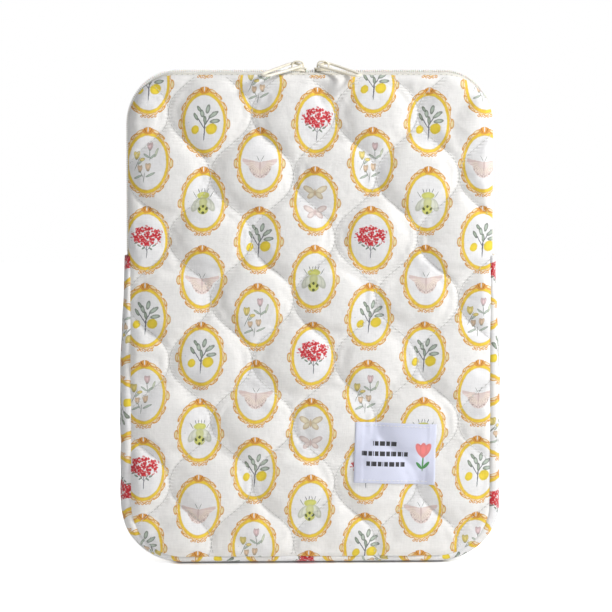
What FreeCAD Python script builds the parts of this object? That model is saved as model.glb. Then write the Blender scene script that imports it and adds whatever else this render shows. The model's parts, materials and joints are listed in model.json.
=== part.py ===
"""Padded laptop sleeve with a two-slider zip, built as its separate sewn and cast pieces.

Frame: millimetres, +Z up, X across the width, Y through the depth, front face towards -Y.
The origin is the middle of the flat bottom edge that the sleeve stands on.
The front panel bends at the two lower ends of the zip. The stretch above that fold, with the front
half of the zip on it, is the flap; everything else stays with the back of the sleeve.
"""

import FreeCAD
import Part
import math
import os

# ---- driving dimensions ----
WIDTH = 266.0  # side edge to side edge, over the tapes
HEIGHT = 350.0  # bottom edge to top tape
DEPTH = 30.0  # front face to back face
TOP_CORNER = 32.0  # radius of the two upper corners
BOTTOM_CORNER = 42.0  # radius of the two lower corners
FOLD_HEIGHT = 220.0  # where the zip ends and the front panel folds

COVER = 1.0  # printed cotton with its quilt backing
WADDING = 5.2  # panel padding
LINING = 0.8  # inner cloth
EDGE_WADDING = 3.0  # thinner padding in the edge band
PANEL_EDGE_ROUND = 5.0  # rounding of a panel towards its seam

SEAM_GAP = 0.2  # between two sewn layers
FOLD_GAP = 0.4  # between the flap and the panel below it
BAND_SETBACK = 3.0  # a panel's outer face stands this far in front of the band's edge

BINDING_THICK = 1.4  # folded tape over the raw seam inside
BINDING_WIDE = 4.0

TAPE = 0.8  # zip tape thickness
TAPE_FLAT = 4.0  # the tape is level this far from the middle plane, then falls towards its seam
TAPE_FALL = 2.5
ROW_GAP = 0.5  # each row of coil to the middle plane
COIL_WIDE = 2.4
COIL_HIGH = 2.0
STOP_LONG = 2.6  # end stop, along the zip
STOP_WIDE = 6.0
STOP_ROUND = 0.7

LABEL_WIDE = 58.0
LABEL_HIGH = 43.5
LABEL_THICK = 0.8
LABEL_FROM_RIGHT = 73.0  # label's middle to the sleeve's right edge
LABEL_FROM_BOTTOM = 79.0
LABEL_ROUND = 0.6

SLIDER_LONG = 13.0
SLIDER_WIDE = 10.0  # at the mouth, where the rows part
SLIDER_TAIL_WIDE = 8.0
SLIDER_PLATE = 1.0
SLIDER_ROUND = 1.8  # corners of the plates
SLIDER_EDGE = 0.35  # softened edges of the plates
SLIDER_CLEAR_OUT = 0.35  # outer plate to coil
SLIDER_CLEAR_IN = 0.9  # inner plate to tape
SLIDER_APART = 5.0  # between the two sliders when the zip is shut
POST_THICK = 0.5
POST_LONG = 5.0
LIP_WIDE = 1.3  # folded-in edges that hold the front row
LIP_CLEAR = 0.45  # lip to tape, and lip to coil

BRIDGE_LONG = 9.0  # arch on the slider that holds the pull
BRIDGE_WIDE = 2.0
BRIDGE_THICK = 1.0
BRIDGE_HOLE = 4.0  # free height under the arch
BRIDGE_ROUND = 1.6

PULL_LONG = 36.0
PULL_WIDE = 13.0  # at the bridge
PULL_BAND = 2.0  # width of the loop's own band
PULL_THICK = 1.4
PULL_NEAR_ROUND = 3.6  # outer corner radius at the bridge
PULL_FAR_ROUND = 4.2  # outer radius of the free end
PULL_EDGE = 0.5
PULL_SWING = 40.0  # degrees from the zip line towards the front
PULL_DROOP_PER_MM = 3.625  # degrees the pull droops for each millimetre under the arch
PULL_SHIFT = 0.6  # from the bridge's middle towards the slider's mouth
PULL_PLAY = 0.15  # pull to bridge, at the tightest turn

# ---- worked out from the above ----
PULL_DROOP = PULL_DROOP_PER_MM * BRIDGE_HOLE  # degrees below level
BAND = COVER + EDGE_WADDING + LINING  # thickness of the edge band
PANEL = COVER + WADDING + LINING  # thickness of a quilted panel
PANEL_INSET = BAND + SEAM_GAP  # outline of a panel, in from the band's outer face
FRONT_FACE = -DEPTH / 2
BAND_EDGE = DEPTH / 2 - BAND_SETBACK  # half the width of the edge band
FOLD_TOP = FOLD_HEIGHT + FOLD_GAP
BIG = 4 * HEIGHT  # larger than the whole sleeve
TINY = 1e-4  # smaller than any edge
PAST = 1.0  # how far a cutter runs past what it cuts

X_AXIS = FreeCAD.Vector(1, 0, 0)
Y_AXIS = FreeCAD.Vector(0, 1, 0)
Z_AXIS = FreeCAD.Vector(0, 0, 1)


def outline_face(inset):
    """The sleeve's rounded outline, moved in by inset, as a face in the plane y = 0."""
    half, low, high = WIDTH / 2 - inset, inset, HEIGHT - inset
    edges = []
    corners = [
        (half, low, BOTTOM_CORNER - inset, -1, 1),
        (half, high, TOP_CORNER - inset, -1, -1),
        (-half, high, TOP_CORNER - inset, 1, -1),
        (-half, low, BOTTOM_CORNER - inset, 1, 1),
    ]
    ends = []
    for number, (x, z, radius, to_x, to_z) in enumerate(corners):
        beside = FreeCAD.Vector(x + to_x * radius, 0, z)
        above = FreeCAD.Vector(x, 0, z + to_z * radius)
        centre = FreeCAD.Vector(x + to_x * radius, 0, z + to_z * radius)
        spoke = FreeCAD.Vector(-to_x, 0, -to_z).normalize() * radius
        start, end = (beside, above) if number % 2 == 0 else (above, beside)
        edges.append(Part.Arc(start, centre + spoke, end).toShape())
        ends.append((start, end))
    for number in range(4):
        start = ends[number][1]
        end = ends[(number + 1) % 4][0]
        edges.append(Part.LineSegment(start, end).toShape())
    return Part.Face(Part.Wire(Part.__sortEdges__(edges)))


def slab(inset, y_from, y_to):
    """The outline at that inset, as a plate between two depths."""
    face = outline_face(inset)
    face.translate(Y_AXIS * y_from)
    return face.extrude(Y_AXIS * (y_to - y_from))


def ring(outer_inset, inner_inset, y_from, y_to):
    """A band that follows the outline, between two insets and two depths."""
    return slab(outer_inset, y_from, y_to).cut(slab(inner_inset, y_from - PAST, y_to + PAST))


def slope(inset_from, y_from, inset_to, y_to):
    """A plate whose outline goes evenly from one inset to another between two depths."""
    wires = []
    for inset, y in ((inset_from, y_from), (inset_to, y_to)):
        wire = outline_face(inset).OuterWire
        wire.translate(Y_AXIS * y)
        wires.append(wire)
    return Part.makeLoft(wires, True, True)


def above(shape, height):
    """What of a shape lies above a height."""
    return shape.common(block((-BIG, BIG), (-BIG, BIG), (height, BIG)))


def below(shape, height):
    """What of a shape lies below a height."""
    return shape.common(block((-BIG, BIG), (-BIG, BIG), (-BIG, height)))


def block(x, y, z):
    """A box between two values on each axis."""
    size = (x[1] - x[0], y[1] - y[0], z[1] - z[0])
    return Part.makeBox(*size, FreeCAD.Vector(x[0], y[0], z[0]))


def mirrored(shape, normal):
    """The shape mirrored in the plane through the origin with that normal."""
    return shape.mirror(FreeCAD.Vector(0, 0, 0), normal)


def rounded(shape, radius, wanted):
    """The shape with the edges that wanted picks rounded to a radius."""
    return shape.makeFillet(radius, [edge for edge in shape.Edges if wanted(edge)])


def lies_at_depth(depth):
    """Picks the edges that lie wholly at one depth."""
    return lambda e: abs(e.BoundBox.YMin - depth) < TINY and abs(e.BoundBox.YMax - depth) < TINY


def lies_across(height):
    """Picks the edges that run through the depth at one height."""
    return lambda e: abs(e.BoundBox.ZMin - height) + e.BoundBox.ZLength + e.BoundBox.XLength < TINY


# ---- quilted panels ----
def panel_cover():
    """Front panel's outer cloth: a shallow tray that wraps round the wadding's edge."""
    tray_back = FRONT_FACE + PANEL - LINING
    outer = slab(PANEL_INSET, FRONT_FACE, tray_back)
    outer = rounded(outer, PANEL_EDGE_ROUND, lies_at_depth(FRONT_FACE))
    hollow = slab(PANEL_INSET + COVER, FRONT_FACE + COVER, tray_back + PAST)
    hollow = rounded(hollow, PANEL_EDGE_ROUND - COVER, lies_at_depth(FRONT_FACE + COVER))
    return outer.cut(hollow)


def panel_wadding():
    """Front panel's padding, which fills the tray with a seam gap round it."""
    start = FRONT_FACE + COVER
    edge_round = PANEL_EDGE_ROUND - COVER
    pad = slab(PANEL_INSET + COVER, start, FRONT_FACE + COVER + WADDING)
    return rounded(pad, edge_round, lies_at_depth(start))


def panel_lining():
    """Front panel's inner cloth, which closes the tray."""
    return slab(PANEL_INSET, FRONT_FACE + PANEL - LINING, FRONT_FACE + PANEL)


# ---- edge band, below the zip ----
def band_cover():
    """Band's outer cloth, with its seam allowances turned in on both sides of the wadding."""
    face = ring(0, COVER, -BAND_EDGE, BAND_EDGE)
    turned_in = ring(COVER, BAND - LINING, -BAND_EDGE, -BAND_EDGE + COVER)
    return below(face.fuse([turned_in, mirrored(turned_in, Y_AXIS)]).removeSplitter(), FOLD_HEIGHT)


def band_wadding():
    """Band's padding, between the turned-in seam allowances."""
    edge = BAND_EDGE - COVER
    return below(ring(COVER, BAND - LINING, -edge, edge), FOLD_HEIGHT)


def band_lining():
    """Band's inner cloth."""
    return below(ring(BAND - LINING, BAND, -BAND_EDGE, BAND_EDGE), FOLD_HEIGHT)


def seam_binding():
    """Folded tape over the raw edges of the front seam, inside the pocket."""
    y_from = FRONT_FACE + PANEL + SEAM_GAP
    return ring(PANEL_INSET, PANEL_INSET + BINDING_THICK, y_from, y_from + BINDING_WIDE)


# ---- zip ----
def zip_tape():
    """Front half's tape: level by the coil, falling to the seam, where it is turned in."""
    layers = []
    for inset in (0, TAPE):
        level = slab(inset, -TAPE_FLAT, -ROW_GAP)
        falling = slope(inset + TAPE_FALL, -BAND_EDGE, inset, -TAPE_FLAT)
        layers.append(level.fuse(falling))
    turned_in = ring(TAPE_FALL + TAPE / 2, BAND, -BAND_EDGE, -BAND_EDGE + TAPE)
    tape = layers[0].cut(layers[1]).fuse(turned_in).removeSplitter()
    return above(tape, FOLD_TOP)


def zip_coil():
    """Front half's row of coil, as the bead that its turns fill."""
    bead = ring(-COIL_HIGH, 0, -ROW_GAP - COIL_WIDE, -ROW_GAP)
    return above(bead, FOLD_TOP + STOP_LONG + FOLD_GAP)


def zip_stop():
    """Right-hand end stop, clamped across both rows at the zip's lower end."""
    half = STOP_WIDE / 2
    edge = WIDTH / 2
    stop = block((edge, edge + COIL_HIGH), (-half, half), (FOLD_TOP, FOLD_TOP + STOP_LONG))
    return rounded(stop, STOP_ROUND, lambda e: abs(e.BoundBox.XMin - edge - COIL_HIGH) < TINY)


# ---- label ----
def woven_label():
    """Bare woven label, sewn flat on the front panel below the fold."""
    x = WIDTH / 2 - LABEL_FROM_RIGHT
    z = LABEL_FROM_BOTTOM
    label = block(
        (x - LABEL_WIDE / 2, x + LABEL_WIDE / 2),
        (FRONT_FACE - LABEL_THICK, FRONT_FACE),
        (z - LABEL_HIGH / 2, z + LABEL_HIGH / 2),
    )
    return rounded(label, LABEL_ROUND, lambda e: e.BoundBox.YLength > LABEL_THICK / 2)


# ---- slider and pull ----
SLIDER_X = (SLIDER_LONG + SLIDER_APART) / 2  # right slider's middle when the zip is shut
CHANNEL_LOW = HEIGHT - TAPE - SLIDER_CLEAR_IN
CHANNEL_HIGH = HEIGHT + COIL_HIGH + SLIDER_CLEAR_OUT
PLATE_TOP = CHANNEL_HIGH + SLIDER_PLATE
PULL_HALF_SECTION = (PULL_BAND**2 + PULL_THICK**2) ** 0.5 / 2
PULL_PIVOT_X = SLIDER_X - PULL_SHIFT
PULL_PIVOT_Z = PLATE_TOP + BRIDGE_HOLE - PULL_HALF_SECTION - PULL_PLAY


def slider_plate(z_from):
    """One plate of the right slider, wide at its mouth, which faces the middle of the zip."""
    mouth = SLIDER_X - SLIDER_LONG / 2
    tail = SLIDER_X + SLIDER_LONG / 2
    corners = [
        FreeCAD.Vector(mouth, -SLIDER_WIDE / 2, z_from),
        FreeCAD.Vector(tail, -SLIDER_TAIL_WIDE / 2, z_from),
        FreeCAD.Vector(tail, SLIDER_TAIL_WIDE / 2, z_from),
        FreeCAD.Vector(mouth, SLIDER_WIDE / 2, z_from),
    ]
    plate = Part.Face(Part.makePolygon(corners + corners[:1])).extrude(Z_AXIS * SLIDER_PLATE)
    return rounded(plate, SLIDER_ROUND, lambda e: e.BoundBox.ZLength > SLIDER_PLATE / 2)


def slider_lips():
    """Folded-in front edges of both plates, which keep the front row in the slider."""
    x = (SLIDER_X - SLIDER_LONG / 2 + SLIDER_ROUND, SLIDER_X + SLIDER_LONG / 2 - SLIDER_ROUND)
    y_in = -ROW_GAP - COIL_WIDE - LIP_CLEAR
    y = (max(y_in - LIP_WIDE, -SLIDER_TAIL_WIDE / 2), y_in)
    outer_lip = block(x, y, (HEIGHT + LIP_CLEAR, CHANNEL_HIGH))
    inner_lip = block(x, y, (CHANNEL_LOW, HEIGHT - TAPE - LIP_CLEAR))
    return outer_lip.fuse(inner_lip)


def slider_post():
    """Thin post between the rows, which joins the two plates at the mouth."""
    mouth = SLIDER_X - SLIDER_LONG / 2 + SLIDER_EDGE
    x = (mouth, mouth + POST_LONG)
    return block(x, (-POST_THICK / 2, POST_THICK / 2), (CHANNEL_LOW, CHANNEL_HIGH))


def slider_bridge():
    """Arch along the outer plate that the pull hangs in."""
    top = PLATE_TOP + BRIDGE_HOLE + BRIDGE_THICK
    half = BRIDGE_LONG / 2
    y = (-BRIDGE_WIDE / 2, BRIDGE_WIDE / 2)
    arch = block((SLIDER_X - half, SLIDER_X + half), y, (PLATE_TOP, top))
    arch = rounded(arch, BRIDGE_ROUND, lies_across(top))
    inner = half - BRIDGE_THICK
    hole_top = PLATE_TOP + BRIDGE_HOLE
    hole = block((SLIDER_X - inner, SLIDER_X + inner), (-BIG, BIG), (PLATE_TOP, hole_top))
    inner_round = BRIDGE_ROUND - BRIDGE_THICK
    hole = rounded(hole, inner_round, lies_across(hole_top))
    return arch.cut(hole)


def slider():
    """The right slider: two plates, their lips, the post and the bridge, cast as one."""
    inner = slider_plate(CHANNEL_LOW - SLIDER_PLATE)
    outer = slider_plate(CHANNEL_HIGH)
    outer = rounded(outer, SLIDER_EDGE, lambda e: e.BoundBox.ZMin > PLATE_TOP - TINY)
    bottom = CHANNEL_LOW - SLIDER_PLATE
    inner = rounded(inner, SLIDER_EDGE, lambda e: e.BoundBox.ZMax < bottom + TINY)
    body = inner.fuse([outer, slider_lips(), slider_post(), slider_bridge()])
    return body.removeSplitter()


def pull():
    """The right pull: a flat loop, wide where it passes the bridge, that narrows to its free end."""
    loop = loop_plate(0).cut(loop_plate(PULL_BAND))
    loop.translate(Z_AXIS * (-PULL_THICK / 2))
    loop = rounded(loop, PULL_EDGE, lambda e: e.BoundBox.ZLength < TINY)
    loop.rotate(FreeCAD.Vector(0, 0, 0), Y_AXIS, PULL_DROOP)
    loop.rotate(FreeCAD.Vector(0, 0, 0), Z_AXIS, -PULL_SWING)
    loop.translate(FreeCAD.Vector(PULL_PIVOT_X, 0, PULL_PIVOT_Z))
    return loop


def loop_plate(inset):
    """The loop's outline, moved in by inset, as a plate on z = 0 with its near bar on the Y axis."""
    near_round, far_round = PULL_NEAR_ROUND - inset, PULL_FAR_ROUND - inset
    corner = FreeCAD.Vector(PULL_NEAR_ROUND - PULL_BAND / 2, PULL_WIDE / 2 - PULL_NEAR_ROUND, 0)
    end = FreeCAD.Vector(PULL_LONG - PULL_BAND / 2 - PULL_FAR_ROUND, 0, 0)
    run = end - corner
    lean = math.asin((PULL_NEAR_ROUND - PULL_FAR_ROUND) / run.Length) + math.atan2(-run.y, run.x)
    side = FreeCAD.Vector(math.sin(lean), math.cos(lean), 0)

    top = [
        corner - X_AXIS * near_round,
        corner + FreeCAD.Vector(-1, 1, 0).normalize() * near_round,
        corner + side * near_round,
        end + side * far_round,
    ]
    low = [FreeCAD.Vector(point.x, -point.y, 0) for point in top]
    edges = [
        Part.Arc(top[0], top[1], top[2]).toShape(),
        Part.LineSegment(top[2], top[3]).toShape(),
        Part.Arc(top[3], end + X_AXIS * far_round, low[3]).toShape(),
        Part.LineSegment(low[3], low[2]).toShape(),
        Part.Arc(low[2], low[1], low[0]).toShape(),
        Part.LineSegment(low[0], top[0]).toShape(),
    ]
    return Part.Face(Part.Wire(edges)).extrude(Z_AXIS * PULL_THICK)


# ---- the whole sleeve ----
def sleeve():
    """Every node of the sleeve, by name."""
    nodes = {}
    layers = {"cover": panel_cover(), "wadding": panel_wadding(), "lining": panel_lining()}
    for layer, shape in layers.items():
        nodes["back_" + layer] = mirrored(shape, Y_AXIS)
        nodes["front_lower_" + layer] = below(shape, FOLD_HEIGHT)
        nodes["front_upper_" + layer] = above(shape, FOLD_TOP)

    nodes["edge_band_cover"] = band_cover()
    nodes["edge_band_wadding"] = band_wadding()
    nodes["edge_band_lining"] = band_lining()

    binding = seam_binding()
    nodes["back_seam_binding"] = mirrored(binding, Y_AXIS)
    nodes["front_lower_seam_binding"] = below(binding, FOLD_HEIGHT)
    nodes["front_upper_seam_binding"] = above(binding, FOLD_TOP)

    nodes["front_zip_tape"] = zip_tape()
    nodes["front_zip_coil"] = zip_coil()
    nodes["back_zip_tape"] = mirrored(zip_tape(), Y_AXIS)
    nodes["back_zip_coil"] = mirrored(zip_coil(), Y_AXIS)

    nodes["woven_label"] = woven_label()
    handed = {"zip_end_stop": zip_stop(), "zip_slider": slider(), "zip_pull": pull()}
    for name, shape in handed.items():
        nodes[name + "_right"] = shape
        nodes[name + "_left"] = mirrored(shape, X_AXIS)
    return nodes


os.makedirs("parts", exist_ok=True)
for name, shape in sleeve().items():
    for solid in shape.Solids:
        assert solid.isValid() and solid.Volume > 0, name
    Part.makeCompound(shape.Solids).exportStep(f"parts/{name}.step")
    print(f"{name}: {len(shape.Solids)} solid, {shape.Volume / 1000:.2f} cm3")
print(f"pull pivot at x {PULL_PIVOT_X:.3f}, z {PULL_PIVOT_Z:.3f}")
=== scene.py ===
# %% [markdown]
# # A quilted laptop sleeve
# The sleeve is printed white cotton, quilted over wadding, with an edge band round the sides and a
# cream zip over the top. Its pieces already exist as plain solids in a fixed frame. Here each one gets
# its look: cloth is cut flat, given its pattern coordinates while it is flat, and only then shaped,
# which is how a sewing room works and which keeps a print from stretching.

import json
import math

import bmesh
import bpy
from mathutils import Matrix, Vector, noise
from mathutils.bvhtree import BVHTree

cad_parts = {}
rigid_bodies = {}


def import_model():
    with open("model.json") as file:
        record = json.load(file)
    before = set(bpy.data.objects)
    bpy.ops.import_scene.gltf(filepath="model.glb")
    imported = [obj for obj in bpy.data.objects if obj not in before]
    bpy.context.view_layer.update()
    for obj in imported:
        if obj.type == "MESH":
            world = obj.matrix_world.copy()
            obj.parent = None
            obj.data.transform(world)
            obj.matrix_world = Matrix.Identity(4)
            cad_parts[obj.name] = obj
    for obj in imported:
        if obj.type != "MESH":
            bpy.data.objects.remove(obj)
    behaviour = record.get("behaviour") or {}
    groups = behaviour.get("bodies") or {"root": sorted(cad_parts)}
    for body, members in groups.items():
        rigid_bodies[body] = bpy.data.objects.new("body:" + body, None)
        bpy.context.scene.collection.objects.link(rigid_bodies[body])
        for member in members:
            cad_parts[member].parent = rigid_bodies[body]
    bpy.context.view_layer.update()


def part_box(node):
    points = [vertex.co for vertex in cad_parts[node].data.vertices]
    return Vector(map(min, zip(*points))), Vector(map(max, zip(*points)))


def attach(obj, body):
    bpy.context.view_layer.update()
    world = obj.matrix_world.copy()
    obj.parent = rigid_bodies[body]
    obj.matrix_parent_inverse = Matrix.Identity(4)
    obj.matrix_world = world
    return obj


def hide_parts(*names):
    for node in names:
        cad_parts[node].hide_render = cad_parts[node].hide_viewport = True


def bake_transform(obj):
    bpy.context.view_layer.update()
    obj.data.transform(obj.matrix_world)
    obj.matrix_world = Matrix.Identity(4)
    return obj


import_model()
scene = bpy.context.scene

# %% [markdown]
# ## Sizes
# Most sizes are read from the solids, so that every new piece lands where its solid is. The corner
# radii and the quilting belong to the pattern of the sleeve, so they are written here.

# %% Sizes of the sleeve
MM = 0.001
band_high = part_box("edge_band_cover")[1]
panel_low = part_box("front_lower_cover")[0]
tape_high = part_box("front_zip_tape")[1]
HALF_WIDE = band_high.x
BAND_HALF = band_high.y
TOP = tape_high.z
FOLD = band_high.z
BAND_FOOT = panel_low.z
SEAM_TURN = 1.3 * MM
SEAM_INSET = BAND_FOOT - SEAM_TURN
LINING_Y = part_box("back_lining")[0].y
TOP_RADIUS = 38 * MM
BOTTOM_RADIUS = 42 * MM
print(f"sleeve {2 * HALF_WIDE:.3f} x {TOP:.3f} m, zip ends at {FOLD:.3f} m, seams inset {SEAM_INSET:.4f} m")

# %% [markdown]
# ## Small helpers for every piece
# A finished piece needs the same few things: smooth faces, a material and the body it moves with. One
# helper does them all, so that no piece is forgotten.

# %% From a bmesh to an object
def to_mesh(name, bm):
    """Turns a bmesh into a mesh and frees it."""
    mesh = bpy.data.meshes.new(name)
    bm.to_mesh(mesh)
    bm.free()
    return mesh


def in_scene(name, data):
    """Puts a mesh, a lamp or a camera into the scene."""
    obj = bpy.data.objects.new(name, data)
    scene.collection.objects.link(obj)
    return obj


print("objects so far:", len(scene.collection.all_objects))

# %% [markdown]
# ## How a piece moves
# Most pieces are firm enough to follow one body. The front panel crosses the fold, so it would tear if
# its upper half simply turned. It is given no body here: its place is only baked into its points.


def rides_on(obj, body):
    """Lets a piece move with one body, or only bakes its place into its points when body is None."""
    if body is None:
        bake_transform(obj)
    else:
        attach(obj, body)


def finish(name, bm, material, body, replaces=()):
    """Turns a bmesh into a finished piece."""
    mesh = to_mesh(name, bm)
    mesh.polygons.foreach_set("use_smooth", [True] * len(mesh.polygons))
    mesh.materials.append(material)
    obj = in_scene(name, mesh)
    rides_on(obj, body)
    if replaces:
        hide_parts(*replaces)
    print(f"{name}: {len(mesh.vertices)} points, {len(mesh.polygons)} faces")
    return obj


# %% [markdown]
# ## Softness
# Cloth is never quite even. A smooth noise gives every soft piece small swells and wrinkles. The noise
# is a fixed formula of the place, so the sleeve comes out the same each time. Where one shape passes
# into another, a smooth step keeps the cloth free of kinks.

# %% Smooth noise and smooth steps
def bumpy(x, y, z, size, seed=0.0):
    """Smooth noise from -1 to 1 that varies over a given size."""
    return noise.noise(Vector((x / size + seed, y / size - seed, z / size + 2.7 * seed)))


def smooth_step(value, low, high):
    """Goes from 0 to 1 between low and high, with soft ends."""
    t = min(1.0, max(0.0, (value - low) / (high - low)))
    return t * t * (3 - 2 * t)


print("a soft step half way up:", smooth_step(0.5, 0, 1))

# %% [markdown]
# ## The outline
# Three shapes follow the sleeve's rounded outline: the panels fill it, and the zip and the edge band
# run along it. `edge_distance` says how far inside a point lies, and `into_outline` gives a square-cut
# sheet its round corners without leaving any cells out.

# %% The rounded outline
def corner_radius(z):
    """Radius of the corners nearest to a height."""
    return TOP_RADIUS if z > TOP / 2 else BOTTOM_RADIUS


def edge_distance(x, z):
    """Distance from a point inside the outline to the outline."""
    radius = corner_radius(z)
    to_side = abs(x) - (HALF_WIDE - radius)
    to_end = abs(z - TOP / 2) - (TOP / 2 - radius)
    outside = math.hypot(max(to_side, 0.0), max(to_end, 0.0))
    inside = min(max(to_side, to_end), 0.0)
    return radius - outside - inside


def into_outline(x, z, inset):
    """Moves a point of a full rectangle so that the rectangle gets the outline's round corners."""
    radius = corner_radius(z) - inset
    to_side = (abs(x) - (HALF_WIDE - inset - radius)) / radius
    to_end = (abs(z - TOP / 2) - (TOP / 2 - inset - radius)) / radius
    if to_side <= 0 or to_end <= 0:
        return x, z
    new_side = to_side * math.sqrt(1 - to_end**2 / 2)
    new_end = to_end * math.sqrt(1 - to_side**2 / 2)
    x -= math.copysign((to_side - new_side) * radius, x)
    z -= math.copysign((to_end - new_end) * radius, z - TOP / 2)
    return x, z


print(f"the middle is {edge_distance(0, TOP / 2):.3f} m inside the outline")

# %% [markdown]
# ## Strips round the outline
# The zip and the edge band are long strips that start and end at the fold. It is easiest to think of
# such a strip as flat, and to bend it last. `Wrap` does the bending: up from the fold and over the top
# for the zip, or down and under for the band.

# %% Bending a strip round the outline
class Wrap:
    """A path along the outline from the left end of the fold to its right end."""

    def __init__(self, up):
        self.turn = 1 if up else -1
        self.radius = TOP_RADIUS if up else BOTTOM_RADIUS
        self.leg = (TOP - FOLD if up else FOLD) - self.radius
        self.arc = self.radius * math.pi / 2
        self.span = 2 * (HALF_WIDE - self.radius)
        self.length = 2 * self.leg + 2 * self.arc + self.span

    def place(self, along, depth, out):
        """The point at a distance along the path, a depth, and a height out of the outline."""
        side = -1
        half = along
        if along > self.length / 2:
            side = 1
            half = self.length - along
        if half < self.leg:
            x, z = HALF_WIDE + out, half
        elif half < self.leg + self.arc:
            angle = (half - self.leg) / self.radius
            x = HALF_WIDE - self.radius + (self.radius + out) * math.cos(angle)
            z = self.leg + (self.radius + out) * math.sin(angle)
        else:
            x = HALF_WIDE - self.radius - (half - self.leg - self.arc)
            z = self.leg + self.radius + out
        return Vector((side * x, depth, FOLD + self.turn * z))

    def frame_at(self, along, depth, out):
        """A matrix at that place. Its X runs along the path and its Z points out of the outline."""
        step = 0.1 * MM
        here = self.place(along, depth, out)
        ahead = (self.place(along + step, depth, out) - self.place(along - step, depth, out)).normalized()
        outward = (self.place(along, depth, out + step) - here).normalized()
        across = outward.cross(ahead)
        return Matrix.Translation(here) @ Matrix((ahead, across, outward)).transposed().to_4x4()


zip_wrap = Wrap(up=True)
band_wrap = Wrap(up=False)
print(f"zip runs {zip_wrap.length:.3f} m, band runs {band_wrap.length:.3f} m")

# %% [markdown]
# ## The quilting
# The stitching is an onion pattern: two families of wavy lines that meet where they are upright. A
# formula for the distance to the nearest line is all that the cloth, the lining and the stitches need.

# %% Distance to the quilting
QUILT_HALF_WIDE = 29.4 * MM
QUILT_HIGH = 43.7 * MM
QUILT_NODE = (-41.6 * MM, 320.1 * MM)
QUILT_WAVE = 0.85


def quilt_course(t):
    """How far sideways a line has gone, in half widths, after t heights of its way down."""
    return t - QUILT_WAVE * math.sin(2 * math.pi * t) / (2 * math.pi)


def quilt_lines(x, z):
    """Distances from a point to the nearest line of each of the two families."""
    t = (QUILT_NODE[1] - z) / QUILT_HIGH
    slope = (1 - QUILT_WAVE * math.cos(2 * math.pi * t)) / QUILT_HIGH
    steepness = math.hypot(1 / QUILT_HALF_WIDE, slope)
    across = (x - QUILT_NODE[0]) / QUILT_HALF_WIDE
    distances = []
    for way in (1, -1):
        off = (across - way * quilt_course(t) + 1) % 2 - 1
        distances.append(abs(off) / steepness)
    return distances


def puff(x, z, width):
    """Height of the padding between the lines, from 0 at a stitch to 1 in the open."""
    first, second = quilt_lines(x, z)
    return (1 - math.exp(-first / width)) * (1 - math.exp(-second / width))


print("quilting at the middle:", [round(1000 * d, 1) for d in quilt_lines(0, TOP / 2)], "mm")

# %% [markdown]
# ## Colours
# Colours are easiest to choose as they appear on a screen, with red, green and blue from 0 to 255. The
# renderer counts light instead, so each value is turned into an amount of light first.

# %% Colours
def tone(red, green, blue):
    """A colour given as screen values from 0 to 255, as the renderer wants it."""
    linear = []
    for value in (red, green, blue):
        value /= 255
        linear.append(value / 12.92 if value <= 0.04045 else ((value + 0.055) / 1.055) ** 2.4)
    return (*linear, 1.0)


print("cream as the renderer sees it:", [round(value, 3) for value in tone(243, 238, 222)])

# %% [markdown]
# ## Building materials
# Every material is a small graph of nodes. The `Graph` class keeps such graphs short to write: one call
# adds a node and plugs in its inputs, whether they are plain values or the results of other nodes.

# %% Short calls for shader graphs
class Graph:
    """Adds nodes to a material or to a node group."""

    def __init__(self, tree):
        self.tree = tree

    def plug(self, node, feeds, out=0):
        """Feeds a node with values or with other nodes' results, and gives one of its results."""
        for key, value in (feeds or {}).items():
            if isinstance(value, bpy.types.NodeSocket):
                self.tree.links.new(value, node.inputs[key])
            else:
                node.inputs[key].default_value = value
        return node.outputs[out]

    def add(self, kind, feeds=None, out=0, **settings):
        node = self.tree.nodes.new("ShaderNode" + kind)
        for key, value in settings.items():
            setattr(node, key, value)
        return self.plug(node, feeds, out)

    def use(self, group, feeds):
        """Places a node group."""
        node = self.tree.nodes.new("ShaderNodeGroup")
        node.node_tree = group
        return self.plug(node, feeds)

    def math(self, operation, a, b=0.0, c=0.0):
        return self.add("Math", {0: a, 1: b, 2: c}, operation=operation)

    def both(self, operation, a, b=(0, 0, 0)):
        """Vector arithmetic. Lengths come out of the second socket."""
        out = 1 if operation == "LENGTH" else 0
        return self.add("VectorMath", {0: a, 1: b}, out=out, operation=operation)

    def mix(self, factor, under, over, blend="MIX"):
        """One colour over another."""
        return self.add("Mix", {0: factor, 6: under, 7: over}, out=2, data_type="RGBA", blend_type=blend)

    def between(self, value, low, high, to_low=0.0, to_high=1.0):
        """Passes smoothly from one value to another while the input goes from low to high."""
        feeds = {"Value": value, "From Min": low, "From Max": high, "To Min": to_low, "To Max": to_high}
        return self.add("MapRange", feeds, interpolation_type="SMOOTHSTEP")

    def noise(self, place, scale, detail=2.0):
        return self.add("TexNoise", {"Vector": place, "Scale": scale, "Detail": detail})

    def scaled(self, place, factor):
        """A place measured in other units, such as millimetres instead of metres."""
        return self.both("MULTIPLY", place, (factor, factor, factor))

    def pattern(self):
        """The piece's own pattern coordinates, in millimetres."""
        return self.scaled(self.add("UVMap", uv_map="cut"), 1 / MM)

    def position(self):
        """Where a point of the piece is, in millimetres."""
        return self.scaled(self.add("TexCoord", out=3), 1 / MM)

    def x_and_y(self, place):
        """The first two parts of a place."""
        split = self.add("SeparateXYZ", {0: place})
        return split, split.node.outputs[1]

    def shaded(self, colour, shade):
        """A colour darkened by a grey value."""
        grey = self.add("CombineColor", {0: shade, 1: shade, 2: shade})
        return self.mix(1.0, colour, grey, blend="MULTIPLY")


print("calls for graphs:", [name for name in vars(Graph) if not name.startswith("_")])

# %% [markdown]
# ## Groups and materials
# A node group is built once and can be placed in many materials, like a stencil. A material always
# starts from one Principled shader, and the other nodes only feed its inputs.

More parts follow.
